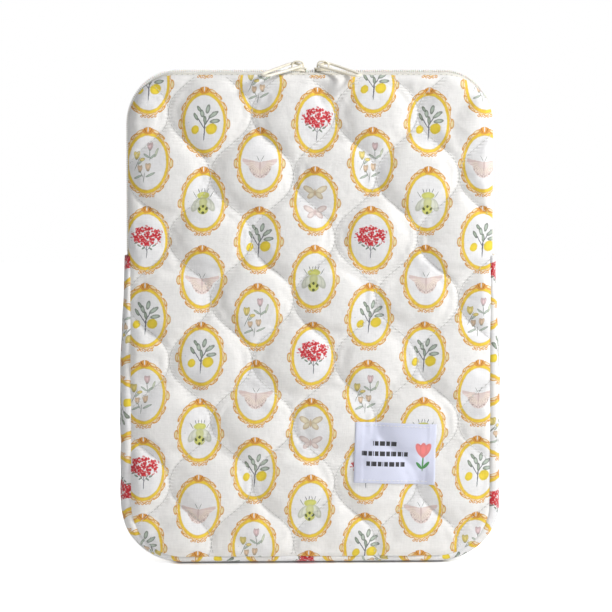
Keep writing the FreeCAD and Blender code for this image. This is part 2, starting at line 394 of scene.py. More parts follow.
# %% Starting a group or a material
def new_group(name, takes, gives):
    """An empty node group. Returns its graph, its input sockets and its output node."""
    tree = bpy.data.node_groups.new(name, "ShaderNodeTree")
    for socket, kind in takes.items():
        tree.interface.new_socket(socket, in_out="INPUT", socket_type="NodeSocket" + kind)
    for socket, kind in gives.items():
        tree.interface.new_socket(socket, in_out="OUTPUT", socket_type="NodeSocket" + kind)
    inputs = tree.nodes.new("NodeGroupInput")
    outputs = tree.nodes.new("NodeGroupOutput")
    return Graph(tree), inputs.outputs, outputs


def new_material(name, roughness, sheen=0.0, coat=0.0):
    """A material with its shader. Returns the material, its graph and the shader's inputs."""
    material = bpy.data.materials.new(name)
    material.use_nodes = True
    shader = material.node_tree.nodes["Principled BSDF"]
    shader.inputs["Roughness"].default_value = roughness
    shader.inputs["Sheen Weight"].default_value = sheen
    shader.inputs["Coat Weight"].default_value = coat
    return material, Graph(material.node_tree), shader.inputs


def raise_bumps(graph, shader_inputs, height, distance):
    """Gives a shader bumps of a real height in metres."""
    bump = graph.add("Bump", {"Height": height, "Distance": distance, "Strength": 1.0})
    graph.tree.links.new(bump, shader_inputs["Normal"])


print("materials so far:", len(bpy.data.materials))

# %% [markdown]
# ## Plain cotton
# Woven cloth is a fine grid of threads that cross over and under, with thicker slubs here and there.
# Two sine waves multiplied make such a grid, and a stretched noise makes the slubs. They are a node
# group, because the cotton, the lining and the label all use the same weave at different pitches.

# %% The weave shared by all cloth
def weave_group():
    """Threads crossing over and under, as a height."""
    takes = {"Place": "Vector", "Pitch": "Float"}
    graph, takes, gives = new_group("plain weave", takes, {"Height": "Float"})
    wander = graph.noise(takes["Place"], 0.35, 1.0)
    across, down = graph.x_and_y(graph.both("ADD", takes["Place"], wander))
    turns = graph.math("DIVIDE", 2 * math.pi, takes["Pitch"])
    warp = graph.math("SINE", graph.math("MULTIPLY", across, turns))
    weft = graph.math("SINE", graph.math("MULTIPLY", down, turns))
    threads = graph.math("MULTIPLY_ADD", graph.math("MULTIPLY", warp, weft), 0.5, 0.5)
    slubs = graph.noise(graph.both("MULTIPLY", takes["Place"], (0.25, 2.2, 1.0)), 1.0, 2.0)
    height = graph.math("MULTIPLY_ADD", slubs, 0.6, threads)
    graph.tree.links.new(height, gives.inputs["Height"])
    return graph.tree


weave = weave_group()
print("nodes in the weave:", len(weave.nodes))

# %% [markdown]
# ## Wrinkles and gathers
# Washed cotton has soft wrinkles, and next to a row of stitches it is gathered into tiny beads. Both are
# too fine to model, so they are bumps over the threads. The beads fade away from the stitches: each
# point of a panel carries a value called "seam" that is 1 on a stitch line and falls off beside it.

# %% Bumps shared by cotton and lining
WRINKLE_HIGH = 9.0
BEAD_TURNS = 2.7
BEAD_HIGH = 2.4
THREAD_HIGH = 0.06 * MM


def cloth_bumps(graph, shader_inputs, place, pitch, wrinkles=1.0):
    """Threads, wrinkles and gathers on a cloth. Returns the threads' height for shading."""
    threads = graph.use(weave, {"Place": place, "Pitch": pitch})
    wrinkle = graph.noise(graph.scaled(place, 0.16), 1.0, 3.0)
    height = graph.math("MULTIPLY_ADD", wrinkle, WRINKLE_HIGH * wrinkles, threads)
    down = graph.x_and_y(place)[1]
    beads = graph.math("SINE", graph.math("MULTIPLY", down, BEAD_TURNS))
    drawn = graph.add("Attribute", out=2, attribute_name="seam")
    drawn = graph.between(drawn, 0.15, 1.0, 0.0, BEAD_HIGH)
    height = graph.math("MULTIPLY_ADD", beads, drawn, height)
    raise_bumps(graph, shader_inputs, height, THREAD_HIGH)
    return threads


print(f"cloth threads stand {1000 * THREAD_HIGH:.2f} mm high")

# %% [markdown]
# ## The print
# The cloth is printed with rows of gold oval frames, and each frame holds one small drawing. A frame
# is found by dividing the cloth into cells and moving every second column down by half a row. A drawing
# is a pile of brush marks: ellipses of ink with a darker rim, as watercolour dries.

# %% The inks of the print
WHITE = tone(250, 250, 248)
STEM = tone(104, 106, 118)
LEAF = tone(166, 180, 164)
LEAF_DARK = tone(138, 154, 140)
LEAF_LIT = tone(190, 203, 190)
LEMON = tone(250, 224, 70)
ORANGE = tone(236, 170, 76)
GOLD = tone(247, 214, 72)
BROWN = tone(196, 122, 48)
RED = tone(204, 40, 54)
PETAL = tone(240, 214, 216)
BUD = tone(240, 214, 184)
BLUSH = tone(243, 230, 225)
LIME = tone(222, 225, 126)
OLIVE = tone(98, 106, 62)
CREAM = tone(244, 228, 176)
STEM_PALE = tone(150, 156, 150)
LEAF_PALE = tone(216, 224, 202)
SUN = tone(244, 226, 140)
MIST = tone(232, 236, 220)
LIME_PALE = tone(220, 224, 164)
DUSK = tone(224, 202, 198)
SAND = tone(242, 232, 204)
AMBER = tone(226, 202, 164)
print("the palest ink:", [round(value, 2) for value in WHITE])

# %% [markdown]
# ## A brush
# One brush mark is an oval of ink: a Mapping node moves, turns and stretches the oval to a unit circle,
# and the distance from its middle says how much ink there is. The brush is a node group, so that a
# drawing of twenty marks is twenty small nodes. Each mark also passes its place on to the next one.

# %% A brush that paints inside a shader
def one_after(graph, place, result):
    """The same place, but worked out after a result, so that marks are made one at a time.

    The renderer can hold only a few dozen half-finished values, and this keeps their number small.
    """
    return graph.add("VectorMath", {0: result, 1: (1e-9, 1e-9, 1e-9), 2: place}, operation="MULTIPLY_ADD")


def brush_group():
    """One mark of ink over what is already there."""
    takes = {"Under": "Color", "Ink": "Color", "Rim": "Float", "Place": "Vector"}
    takes |= {"Middle": "Vector", "Turn": "Vector", "Size": "Vector"}
    graph, takes, gives = new_group("brush mark", takes, {"Colour": "Color", "Place": "Vector"})
    feeds = {"Vector": takes["Place"], "Location": takes["Middle"], "Rotation": takes["Turn"]}
    feeds["Scale"] = takes["Size"]
    local = graph.add("Mapping", feeds, vector_type="TEXTURE")
    reach = graph.both("LENGTH", local)
    rim = graph.between(reach, 0.3, 1.0, 0.0, takes["Rim"])
    ink = graph.mix(rim, takes["Ink"], (0, 0, 0, 1))
    mask = graph.between(reach, 1.08, 0.88)
    graph.tree.links.new(graph.mix(mask, takes["Under"], ink), gives.inputs["Colour"])
    graph.tree.links.new(one_after(graph, takes["Place"], mask), gives.inputs["Place"])
    return graph.tree


brush = brush_group()
print("nodes in one brush mark:", len(brush.nodes))

# %% [markdown]
# ## A painter
# A painter keeps the picture painted so far. Every mark goes over it, so the marks are listed in the
# order in which a hand would paint them, from the back to the front.

# %% Painting mark after mark
class Painter:
    """Paints marks one over another, in the millimetres of one frame of the print."""

    def __init__(self, graph, place, ground):
        self.graph = graph
        self.place = place
        self.colour = ground

    def mark(self, ink, x, y, half_long, half_wide, turn=0, rim=0.15):
        """One oval of ink, with its middle, its half sizes and its turn in degrees."""
        feeds = {"Under": self.colour, "Ink": ink, "Rim": rim, "Place": self.place, "Middle": (x, y, 0)}
        feeds["Turn"] = (0, 0, math.radians(turn))
        feeds["Size"] = (half_long, half_wide, 1)
        self.colour = self.graph.use(brush, feeds)
        self.place = self.colour.node.outputs["Place"]


def mirrored_place(graph, place):
    """Folds a frame along its upright middle line, so that one painted half makes both."""
    x, y = graph.x_and_y(place)
    return graph.add("CombineXYZ", {0: graph.math("ABSOLUTE", x), 1: y})


print("node groups so far:", [group.name for group in bpy.data.node_groups])

# %% [markdown]
# ## The drawings
# Six small drawings fill the frames: a sprig of lemons, tulips, red blossom, a beetle, a moth and two
# butterflies. Each could be an image, but an image has a fixed size and needs a file. Painted with a
# few brush marks in numbers, a drawing stays sharp close up, and one mark can be moved by itself.
# All sizes are in millimetres from the middle of the frame.

# %% Lemons
def draw_lemons(painter):
    """A sprig of two lemons, whose leaves have pale middles and dark edges."""
    painter.mark(STEM, 0.3, -5.0, 7.4, 0.42, 86)
    painter.mark(STEM, 3.0, 2.4, 6.6, 0.32, 58)
    painter.mark(STEM, -2.6, 0.6, 6.2, 0.32, 122)
    painter.mark(STEM, 4.6, -1.2, 4.6, 0.28, 28)
    leaves = ((6.4, 5.6, 3.9, 34), (7.4, 1.2, 3.6, 8), (2.6, 9.2, 3.2, 76), (-1.4, 6.4, 2.8, 104))
    for x, y, long, turn in leaves:
        painter.mark(LEAF_LIT, x, y, long, 1.45, turn, rim=0.62)
    for x, y, long, turn in ((-5.6, 4.2, 2.9, 118), (-3.4, 9.4, 2.3, 124), (0.6, 1.8, 3.0, 96)):
        painter.mark(LEAF, x, y, long, 1.15, turn, rim=0.6)
    painter.mark(LEMON, -6.2, -4.6, 3.2, 2.6, 60)
    painter.mark(LEMON, 5.0, -4.0, 4.1, 3.6, 35)


print("picture 1 of 6: a sprig of lemons")

# %% [markdown]
# ## Tulips
# Three narrow ovals that fan out from one foot read as a tulip, and a small dark oval under them is its
# base. One loop paints all four flowers, each with its own ink and size.

# %% Tulips
def draw_tulips(painter):
    """A rosebud, an open tulip and two small buds, each on its own sprig."""
    stems = ((1.9, 5.2, 4.6, 94), (-6.9, -1.0, 5.4, 66), (-1.9, -10.4, 3.6, 84), (-3.7, -7.8, 2.8, 116))
    for x, y, long, turn in stems:
        painter.mark(STEM_PALE, x, y, long, 0.26, turn)
    painter.mark(LEAF_PALE, 6.4, 6.6, 3.6, 0.9, 72, rim=0.35)
    upper_leaves = ((-0.4, 4.4, 2.7, 144), (4.0, 3.8, 2.6, 38), (-4.2, 0.6, 3.2, 44))
    lower_leaves = ((-6.0, -9.8, 3.4, 22), (2.6, -8.4, 3.7, 26))
    for x, y, long, turn in upper_leaves + lower_leaves:
        painter.mark(LEAF_LIT, x, y, long, 0.8, turn, rim=0.4)
    painter.mark(SUN, -3.3, 1.9, 2.0, 1.2, 12, rim=0.4)
    flowers = ((PETAL, 1.8, 11.2, 0.84), (SUN, -7.4, 5.0, 0.9))
    buds = ((BUD, -4.9, -4.2, 0.72), (BUD, 0.9, -3.2, 0.8))
    for ink, x, y, size in flowers + buds:
        painter.mark(LEAF_DARK, x, y - 2.9 * size, 1.0, 0.7)
        for aside, long, turn in ((-1.0, 3.3, 103), (1.0, 3.3, 77), (0.0, 2.9, 90)):
            painter.mark(ink, x + aside * size, y, long * size, 1.35 * size, turn, rim=0.4)


print("picture 2 of 6: tulips and buds")

# %% [markdown]
# ## Red blossom
# A cluster of dozens of tiny flowers would take too many brush marks. Voronoi cells give the same look
# at once: every cell holds one small dot of ink, and a ragged oval says which cells are painted.

# %% Red blossom
PINK = tone(236, 120, 120)


def draw_blossom(painter):
    """A cluster of small red flowers on thin stems, with small leaves under it."""
    graph = painter.graph
    painter.mark(STEM, 0.3, -9.0, 3.6, 0.28, 88)
    for x, turn in ((-2.4, 124), (0.2, 90), (3.0, 58)):
        painter.mark(STEM, x, -3.0, 4.6, 0.24, turn)
    low_leaves = ((-4.9, -3.2, 150), (5.2, -3.4, 26), (-2.0, -5.0, 40))
    high_leaves = ((2.8, -5.6, 140), (0.4, -2.6, 80), (-7.0, -1.2, 20))
    for x, y, turn in low_leaves + high_leaves:
        painter.mark(LEAF_DARK, x, y, 1.5, 0.6, turn)
    cells = graph.add("TexVoronoi", {"Vector": painter.place, "Scale": 0.7, "Randomness": 0.9})
    petals = graph.between(cells, 0.76, 0.58)
    from_middle = graph.both("SUBTRACT", painter.place, (0.2, 3.6, 0))
    spread = graph.both("LENGTH", graph.both("DIVIDE", from_middle, (11.6, 7.4, 1)))
    ragged = graph.math("MULTIPLY_ADD", graph.noise(painter.place, 0.5), 0.9, spread)
    inside = graph.between(ragged, 1.38, 1.3)
    shade = graph.between(graph.noise(painter.place, 0.9), 0.52, 0.66)
    ink = graph.mix(shade, RED, PINK)
    painter.colour = graph.mix(graph.math("MULTIPLY", petals, inside), painter.colour, ink)


print("picture 3 of 6: red blossom")

# %% [markdown]
# ## Insects
# An insect is the same on both sides. The place is folded along the frame's upright middle line before
# anything is painted, so that half of the marks make the whole insect.

# %% Beetle
def draw_beetle(painter):
    """A beetle with its wings half open, seen from above. One wing makes both."""
    painter.mark(STEM_PALE, 6.0, 5.2, 2.8, 0.24, 58)
    painter.mark(STEM, 1.0, 8.2, 1.4, 0.22, 98)
    painter.mark(STEM, 3.2, 7.9, 1.6, 0.22, 72)
    painter.mark(MIST, 5.2, -2.2, 5.2, 2.6, -62, rim=0.3)
    painter.mark(MIST, 3.8, -1.2, 4.8, 2.0, -72, rim=0.25)
    painter.mark(LIME, 0.0, 4.6, 4.6, 2.5)
    painter.mark(LIME_PALE, 0.0, -0.4, 3.0, 3.8)
    painter.mark(LIME, 0.0, -5.6, 3.8, 3.5)
    painter.mark(OLIVE, 2.5, -5.0, 0.85, 1.35, -25)
    painter.mark(OLIVE, 0.0, -3.2, 0.9, 1.1)
    painter.mark(OLIVE, 0.0, -7.9, 1.0, 1.0)


print("picture 4 of 6: a beetle")

# %% [markdown]
# ## Moth
# A moth's wings are two fans. In a fan everything depends on the angle and the distance from the body:
# how far the wing reaches, its veins, and the spots along its margin. So this drawing is worked out in
# those two measures instead of being brushed.

# %% Moth
VANILLA = tone(241, 229, 212)
MOTH_SPOT = tone(178, 156, 148)


def draw_moth(painter):
    """A pale moth with wings spread like a fan. One wing makes both."""
    graph = painter.graph
    x, y = graph.x_and_y(painter.place)
    reach = graph.both("LENGTH", painter.place)
    angle = graph.math("ARCTAN2", y, x)
    tail = graph.between(angle, -0.4, -1.57, 0.0, 2.2)
    edge = graph.math("ADD", graph.between(angle, -0.35, 0.14, 8.6, 12.4), tail)
    share = graph.math("DIVIDE", reach, edge)
    wings = graph.math("MULTIPLY", graph.between(share, 1.02, 0.95), graph.between(angle, 0.26, 0.18))
    patch_end = graph.between(reach, 9.0, 7.0, 0.0, 0.6)
    patch = graph.math("MULTIPLY", graph.between(reach, 3.0, 5.5), patch_end)
    ink = graph.mix(patch, BLUSH, VANILLA)
    veins = graph.between(graph.math("SINE", graph.math("MULTIPLY", angle, 28.0)), 0.4, 1.0, 0.0, 0.9)
    ink = graph.mix(veins, ink, DUSK)
    ink = graph.mix(graph.between(angle, -0.1, 0.14, 0.0, 0.7), ink, DUSK)
    spots = graph.between(graph.noise(painter.place, 0.8), 0.48, 0.62, 0.0, 0.8)
    margin = graph.math("MULTIPLY", graph.between(share, 0.62, 0.84), graph.between(angle, -0.35, -0.6))
    ink = graph.mix(graph.math("MULTIPLY", spots, margin), ink, MOTH_SPOT)
    painter.colour = graph.mix(wings, painter.colour, ink)
    painter.mark(DUSK, 0.0, -2.6, 0.6, 3.4)
    painter.mark(STEM_PALE, 1.5, 2.6, 2.2, 0.18, 62)


print("picture 5 of 6: a moth")

# %% [markdown]
# ## Butterflies
# Two butterflies share a frame, and differ only in height and ink. A darker oval under a paler one
# gives each wing its edge.

# %% Butterflies
def draw_butterflies(painter):
    """Two small butterflies, one over the other. One wing makes both."""
    for y, wing, edge in ((7.0, SAND, AMBER), (-7.0, BLUSH, DUSK)):
        painter.mark(edge, 4.3, y + 1.7, 4.6, 2.1, 30)
        painter.mark(wing, 4.0, y + 1.6, 4.0, 1.7, 30)
        painter.mark(edge, 3.0, y - 2.3, 3.2, 1.9, -42)
        painter.mark(wing, 2.9, y - 2.1, 2.6, 1.5, -42)
        painter.mark(edge, 0.0, y - 0.3, 0.5, 3.0)


print("picture 6 of 6: two butterflies")

# %% [markdown]
# ## The gold frame
# Each drawing sits in a thin gold oval, edged with peach scrollwork. Dividing the place by the oval's
# two half sizes turns it into a circle of radius 1, so that a ring is only a band of distances and a
# lobed edge is a band that waves with the angle. The clasp on top, the loops at the sides and the
# beads below are brush marks.

# %% The gold frame
FRAME_HALF = (14.1, 19.8, 1)
LOBES = 24.0
TWIGS = 33.0


def ring_mask(graph, reach, middle, half_wide):
    """A thin oval line."""
    away = graph.math("ABSOLUTE", graph.math("SUBTRACT", reach, middle))
    return graph.between(away, half_wide, 0.5 * half_wide)


def paint_frame(graph, place, ground):
    """A thin gold oval in scrollwork, with a fan on top and beads below."""
    x, y = graph.x_and_y(place)
    reach = graph.both("LENGTH", graph.both("DIVIDE", place, FRAME_HALF))
    angle = graph.math("ARCTAN2", y, graph.math("MULTIPLY", x, 1.4))
    speckle = graph.between(graph.noise(place, 0.9, 1.0), 0.46, 0.62)
    rim_ink = graph.mix(speckle, tone(238, 182, 96), tone(210, 148, 74))
    uneven = graph.between(graph.noise(place, 0.5), 0.45, 0.6)
    peach = graph.mix(uneven, tone(250, 238, 206), tone(250, 222, 170))
    painter = Painter(graph, mirrored_place(graph, place), ground)
    painter.mark(ORANGE, 16.3, -0.8, 1.9, 3.5)
    painter.mark(CREAM, 16.6, -0.8, 1.1, 2.5)
    for x, height, turn in ((9.6, 17.9, -40), (13.9, 11.2, -62), (9.6, -17.9, 40), (13.9, -11.2, 62)):
        painter.mark(ORANGE, x, height, 3.4, 1.2, turn)
        painter.mark(peach, x, height, 2.1, 0.65, turn)
    wave = graph.math("SINE", graph.math("MULTIPLY", angle, LOBES))
    lobes = graph.math("MULTIPLY_ADD", wave, 0.026, 1.125)
    outside = graph.math("SUBTRACT", reach, lobes)
    filled = graph.math("MULTIPLY", graph.between(outside, 0.02, 0.0), graph.between(reach, 0.98, 1.0))
    painter.colour = graph.mix(filled, painter.colour, peach)
    slanting = graph.math("MULTIPLY_ADD", angle, TWIGS, graph.math("MULTIPLY", reach, 30.0))
    twigs = graph.math("ABSOLUTE", graph.math("SINE", slanting))
    twigs = graph.math("MULTIPLY", graph.between(twigs, 0.35, 0.15, 0.0, 0.6), filled)
    painter.colour = graph.mix(twigs, painter.colour, rim_ink)
    painter.colour = graph.mix(ring_mask(graph, outside, 0.0, 0.023), painter.colour, rim_ink)
    ink = graph.mix(graph.between(reach, 0.93, 0.965), tone(208, 184, 84), GOLD)
    ink = graph.mix(graph.between(reach, 1.03, 1.07), ink, tone(220, 164, 62))
    worn = graph.between(graph.noise(place, 0.35), 0.5, 0.64, 0.0, 0.5)
    ink = graph.mix(worn, ink, tone(232, 176, 62))
    painter.colour = graph.mix(ring_mask(graph, reach, 1.0, 0.086), painter.colour, ink)
    painter.mark(ORANGE, 5.4, 21.1, 3.4, 1.3, -28)
    painter.mark(peach, 5.8, 21.2, 2.1, 0.7, -28)
    painter.mark(ORANGE, 0.0, 22.0, 3.6, 2.6)
    painter.mark(BROWN, 2.0, 22.3, 1.9, 0.35, 62)
    painter.mark(WHITE, 0.0, 22.8, 0.5, 1.9)
    for x in (0.0, 2.4, 4.6):
        painter.mark(ORANGE, x, -23.2 + 0.12 * x, 1.0, 0.9)
        painter.mark(WHITE, x, -23.1 + 0.12 * x, 0.45, 0.45)
    return painter.colour


print(f"the gold oval is {2 * FRAME_HALF[0]:.1f} x {2 * FRAME_HALF[1]:.1f} mm")

# %% [markdown]
# ## Laying out the print
# The frames stand in columns, and every second column is half a row lower. Rounding a place to the
# nearest column and row gives the middle of its frame, and the numbers of that column and row say
# which of the six drawings it holds. The list of drawings repeats every four columns and three rows.

# %% Where each drawing goes
PITCH_ACROSS = 39.7
PITCH_DOWN = 54.7
PRINT_START = (4.0, 313.0)
DRAWINGS = {
    draw_lemons: ("plain", ((0, 0), (1, 0), (2, 2))),
    draw_tulips: ("plain", ((0, 1), (2, 0))),
    draw_blossom: ("plain", ((0, 2), (3, 0))),
    draw_beetle: ("mirrored", ((1, 1), (3, 2))),
    draw_moth: ("mirrored", ((1, 2), (2, 1))),
    draw_butterflies: ("mirrored", ((3, 1),)),
}
CELL_COLUMNS = 4.0
CELL_ROWS = 3.0
print(f"frames stand {PITCH_ACROSS} mm apart across and {PITCH_DOWN} mm apart down the cloth")

# %% [markdown]
# ## The whole print
# All six drawings are painted, and each is shown only in the frames that hold it. The renderer can keep
# only a few dozen unfinished values at a time, so each drawing waits for the one before it. The place
# is wobbled first, because hand-drawn lines are never quite straight.

# %% The whole print
def wobbled(graph, place):
    """A place moved about by a fraction of a millimetre, so that drawn lines are not too straight."""
    wobble = graph.add("TexNoise", {"Vector": place, "Scale": 0.5}, out=1)
    return graph.both("ADD", place, graph.scaled(graph.both("SUBTRACT", wobble, (0.5, 0.5, 0.5)), 0.7))


def print_group():
    """The printed cloth's colour at a place given in millimetres."""
    takes = {"Place": "Vector", "Lean": "Float"}
    graph, takes, gives = new_group("oval print", takes, {"Colour": "Color"})
    x, y = graph.x_and_y(wobbled(graph, takes["Place"]))
    down = graph.math("SUBTRACT", PRINT_START[1], y)
    across = graph.math("MULTIPLY_ADD", down, takes["Lean"], graph.math("SUBTRACT", x, PRINT_START[0]))
    across = graph.math("DIVIDE", across, PITCH_ACROSS)
    column = graph.math("ROUND", across)
    odd = graph.math("ABSOLUTE", graph.math("MODULO", column, 2.0))
    down = graph.math("MULTIPLY_ADD", odd, 0.5, graph.math("DIVIDE", down, PITCH_DOWN))
    row = graph.math("ROUND", down)
    x = graph.math("MULTIPLY", graph.math("SUBTRACT", across, column), PITCH_ACROSS)
    y = graph.math("MULTIPLY", graph.math("SUBTRACT", row, down), PITCH_DOWN)
    place = graph.add("CombineXYZ", {0: x, 1: y})
    row_kind = graph.math("FLOORED_MODULO", row, CELL_ROWS)
    column_kind = graph.math("FLOORED_MODULO", graph.math("SUBTRACT", column, 1.0), CELL_COLUMNS)
    kind = graph.math("MULTIPLY_ADD", column_kind, CELL_ROWS, row_kind)
    field = graph.both("LENGTH", graph.both("DIVIDE", place, (12.7, 18.3, 1)))
    ground = graph.mix(graph.between(field, 1.02, 0.98), WHITE, tone(246, 247, 248))
    specks = graph.add("TexVoronoi", {"Vector": place, "Scale": 0.17})
    specks = graph.between(specks, 0.09, 0.05, 0.0, 0.5)
    specks = graph.math("MULTIPLY", specks, graph.between(field, 0.9, 0.86))
    ground = graph.mix(specks, ground, tone(176, 180, 190))
    picture = ground
    for draw, (side, cells) in DRAWINGS.items():
        place = one_after(graph, place, picture)
        painter = Painter(graph, mirrored_place(graph, place) if side == "mirrored" else place, ground)
        draw(painter)
        chosen = 0.0
        for column_number, row_number in cells:
            same = graph.math("COMPARE", kind, CELL_ROWS * column_number + row_number, 0.25)
            chosen = graph.math("ADD", chosen, same)
        picture = graph.mix(chosen, picture, painter.colour)
    colour = paint_frame(graph, one_after(graph, place, picture), picture)
    colour = graph.mix(1.0, colour, tone(246, 245, 245), blend="MULTIPLY")
    graph.tree.links.new(colour, gives.inputs["Colour"])
    return graph.tree


oval_print = print_group()
print("nodes in the print:", len(oval_print.nodes))

# %% [markdown]
# ## Printed cotton
# The cloth is the print, with a painted shade that darkens it a little where its threads lie low. Long
# thin noise in both directions gives the faint streaks of uneven yarn. The front, the back and the band
# are cut from different places on the bolt, so each has its own shift of the print, and the panels are
# cut slightly off the straight.

# %% Printed cotton
COTTON_PITCH = 0.42
COTTON_LEAN = 0.018


def printed_cotton(name, shift, lean=COTTON_LEAN):
    """White cotton with the print on it, cut from one place on the bolt."""
    material, graph, shader = new_material(name, roughness=0.88, sheen=0.18)
    place = graph.pattern()
    threads = cloth_bumps(graph, shader, place, COTTON_PITCH)
    colour = graph.use(oval_print, {"Place": graph.both("ADD", place, shift), "Lean": lean})
    across = graph.noise(graph.both("MULTIPLY", place, (0.12, 1.5, 1.0)), 1.0)
    down = graph.noise(graph.both("MULTIPLY", place, (1.5, 0.12, 1.0)), 1.0)
    yarn = graph.math("ADD", across, down)
    # The yarn streaks are the cloth's own tone. The threads' share is painted shade between the threads.
    shade = graph.math("MULTIPLY_ADD", yarn, 0.16, graph.math("MULTIPLY", threads, 0.04))
    shade = graph.math("ADD", shade, 0.8)
    graph.tree.links.new(graph.shaded(colour, shade), shader["Base Color"])
    return material


front_cotton = printed_cotton("printed cotton, front", (0, 0, 0))
back_cotton = printed_cotton("printed cotton, back", (19, 23, 0))
band_cotton = printed_cotton("printed cotton, band", (50.5, -425, 0), lean=0.0)
print("cottons:", front_cotton.name, "|", back_cotton.name, "|", band_cotton.name)

# %% [markdown]
# ## The quilted panels
# A panel is cut flat, held along every stitch line and round its edge, and blown up a little by a cloth
# simulation, with a few per cent of spare cloth so that it puckers between the stitches. The crease of
# each stitch line is narrower than the cloth's cells, so it is pressed in afterwards. The inside face is
# pulled out of the same cloth, which closes the panel round its wadding.

# %% Cutting a panel flat
CELL = 3.1 * MM


def set_pattern(bm, place):
    """Stores pattern coordinates, in metres of flat cloth, given each point's position."""
    layer = bm.loops.layers.uv.new("cut")
    for face in bm.faces:
        for loop in face.loops:
            loop[layer].uv = place(loop.vert.co)


def flat_panel(cell, inset):
    """A flat panel in the plane y = 0, with its pattern coordinates."""
    bm = bmesh.new()
    wide, high = 2 * (HALF_WIDE - inset), TOP - 2 * inset
    bmesh.ops.create_grid(bm, x_segments=round(wide / cell), y_segments=round(high / cell), size=0.5)
    for vert in bm.verts:
        x, z = into_outline(vert.co.x * wide, TOP / 2 + vert.co.y * high, inset)
        vert.co = (x, 0, z)
    set_pattern(bm, lambda co: (co.x, co.z))
    return bm


print(f"a panel is cut in cells of {1000 * CELL:.1f} mm")

# %% [markdown]
# ## Sewing the quilt
# In the simulation the stitched points are pinned, air pressure stands in for the wadding, and a
# negative shrink makes the cloth a little too large for its outline. That spare cloth is what puckers.
# A smoothing subdivision afterwards hides the cells.

# %% Simulating the quilted cloth
SEWING_FRAMES = 20
SPARE_CLOTH = 0.035


def simulated(bm, pinned):
    """The cloth after a short simulation, as a new mesh. Pinned points stay where they are."""
    obj = in_scene("cloth being sewn", to_mesh("cloth being sewn", bm))
    group = obj.vertex_groups.new(name="stitched")
    group.add(pinned, 1.0, "REPLACE")
    cloth = obj.modifiers.new("Cloth", "CLOTH")
    settings = cloth.settings
    settings.quality = 5
    settings.mass = 0.15
    settings.tension_stiffness = settings.compression_stiffness = 20
    settings.shear_stiffness = 8
    settings.bending_stiffness = 0.02
    settings.vertex_group_mass = group.name
    settings.use_pressure = True
    settings.uniform_pressure_force = 3.0
    settings.shrink_min = -SPARE_CLOTH
    settings.effector_weights.gravity = 0
    cloth.point_cache.frame_end = SEWING_FRAMES
    for number in range(1, SEWING_FRAMES + 1):
        scene.frame_set(number)
    smooth = obj.modifiers.new("Smooth", "SUBSURF")
    smooth.levels = smooth.render_levels = 1
    settled = obj.evaluated_get(bpy.context.evaluated_depsgraph_get())
    sewn = bpy.data.meshes.new_from_object(settled)
    bpy.data.objects.remove(obj)
    scene.frame_set(1)
    return sewn


print(f"the quilt is sewn in {SEWING_FRAMES} frames with {100 * SPARE_CLOTH:.1f} % of spare cloth")

# %% [markdown] ## One sewn face Both panels have the same quilting, so one face is sewn and used
# twice.

# %% Sewing one face of a panel
PUFF_MOST = 4.6 * MM


def sewn_panel():
    """The quilted face of a panel around y = 0, puffed towards -Y."""
    bm = flat_panel(CELL, SEAM_INSET)
    pinned = []
    for vert in bm.verts:
        nearest = min(quilt_lines(vert.co.x, vert.co.z))
        if nearest < 0.5 * CELL or vert.is_boundary:
            pinned.append(vert.index)
    return simulated(bm, pinned)


sewn = sewn_panel()
heights = sorted(-vert.co.y for vert in sewn.vertices)
typical = heights[int(0.9 * (len(heights) - 1))]
print(f"the cloth rises up to {heights[-1] / MM:.1f} mm, nine tenths of it less than {typical / MM:.1f} mm")

# %% [markdown]
# ## Creases and closed edges
# The simulated rise is mixed half and half with a smooth puff, so that no puff is buckled and every one
# is a little different. Then come the finer parts: the narrow crease along each stitch line, small
# puckers beside it, and slack over the whole cloth. Extruding the face and moving the copy inwards
# closes the panel round its wadding.

# %% The depth of a quilted face
SEAM_Y = 12.2 * MM
CREASE = 1.5 * MM
SOFT_PUFF = 6.5 * MM


def panel_depth(x, z, rise):
    """Depth of the outer face from the middle plane, for a simulated rise of the cloth."""
    nearest = min(quilt_lines(x, z))
    open_rise = PUFF_MOST * (0.5 * math.tanh(1.25 * rise / typical) + 0.5 * puff(x, z, SOFT_PUFF))
    crease = puff(x, z, CREASE)
    pucker = bumpy(x, 0, z, 3.4 * MM, 1.7) * 0.34 * MM * math.exp(-nearest / (5 * MM))
    slack = bumpy(x, 0, z, 22 * MM, 4.2) * 0.3 * MM + bumpy(x, 0, z, 9 * MM, 8.1) * 0.16 * MM
    rise = (open_rise + slack + 0.25 * MM) * crease + pucker * min(1.0, nearest / (0.9 * MM))
    inside = edge_distance(x, z) - SEAM_INSET
    edge = smooth_step(inside, -1 * MM, 7 * MM)
    return SEAM_Y - 1.1 * MM * (1 - smooth_step(inside, 0, 3 * MM)) + rise * edge


print(f"the face's middle lies {panel_depth(0, TOP / 2, typical) / MM:.1f} mm from the middle plane")

# %% [markdown]
# ## A closed panel
# A panel has a printed face and an inner face against the lining. The value "seam" is stored at each
# point here, for the gathers that the cloth's material draws beside the stitches.

# %% Closing a panel
INSIDE_Y = LINING_Y + 0.95 * MM
TOP_LIFT = 1.6 * MM
GATHER_WIDE = 2.2 * MM


def raised(z):
    """The wadding lifts the top edge of a panel towards the zip."""
    return z + TOP_LIFT * smooth_step(z, 0.7 * TOP, TOP - SEAM_INSET)


def extruded_points(bm):
    """Extrudes all faces of a sheet and returns the new points."""
    pulled = bmesh.ops.extrude_face_region(bm, geom=list(bm.faces))
    return [item for item in pulled["geom"] if isinstance(item, bmesh.types.BMVert)]


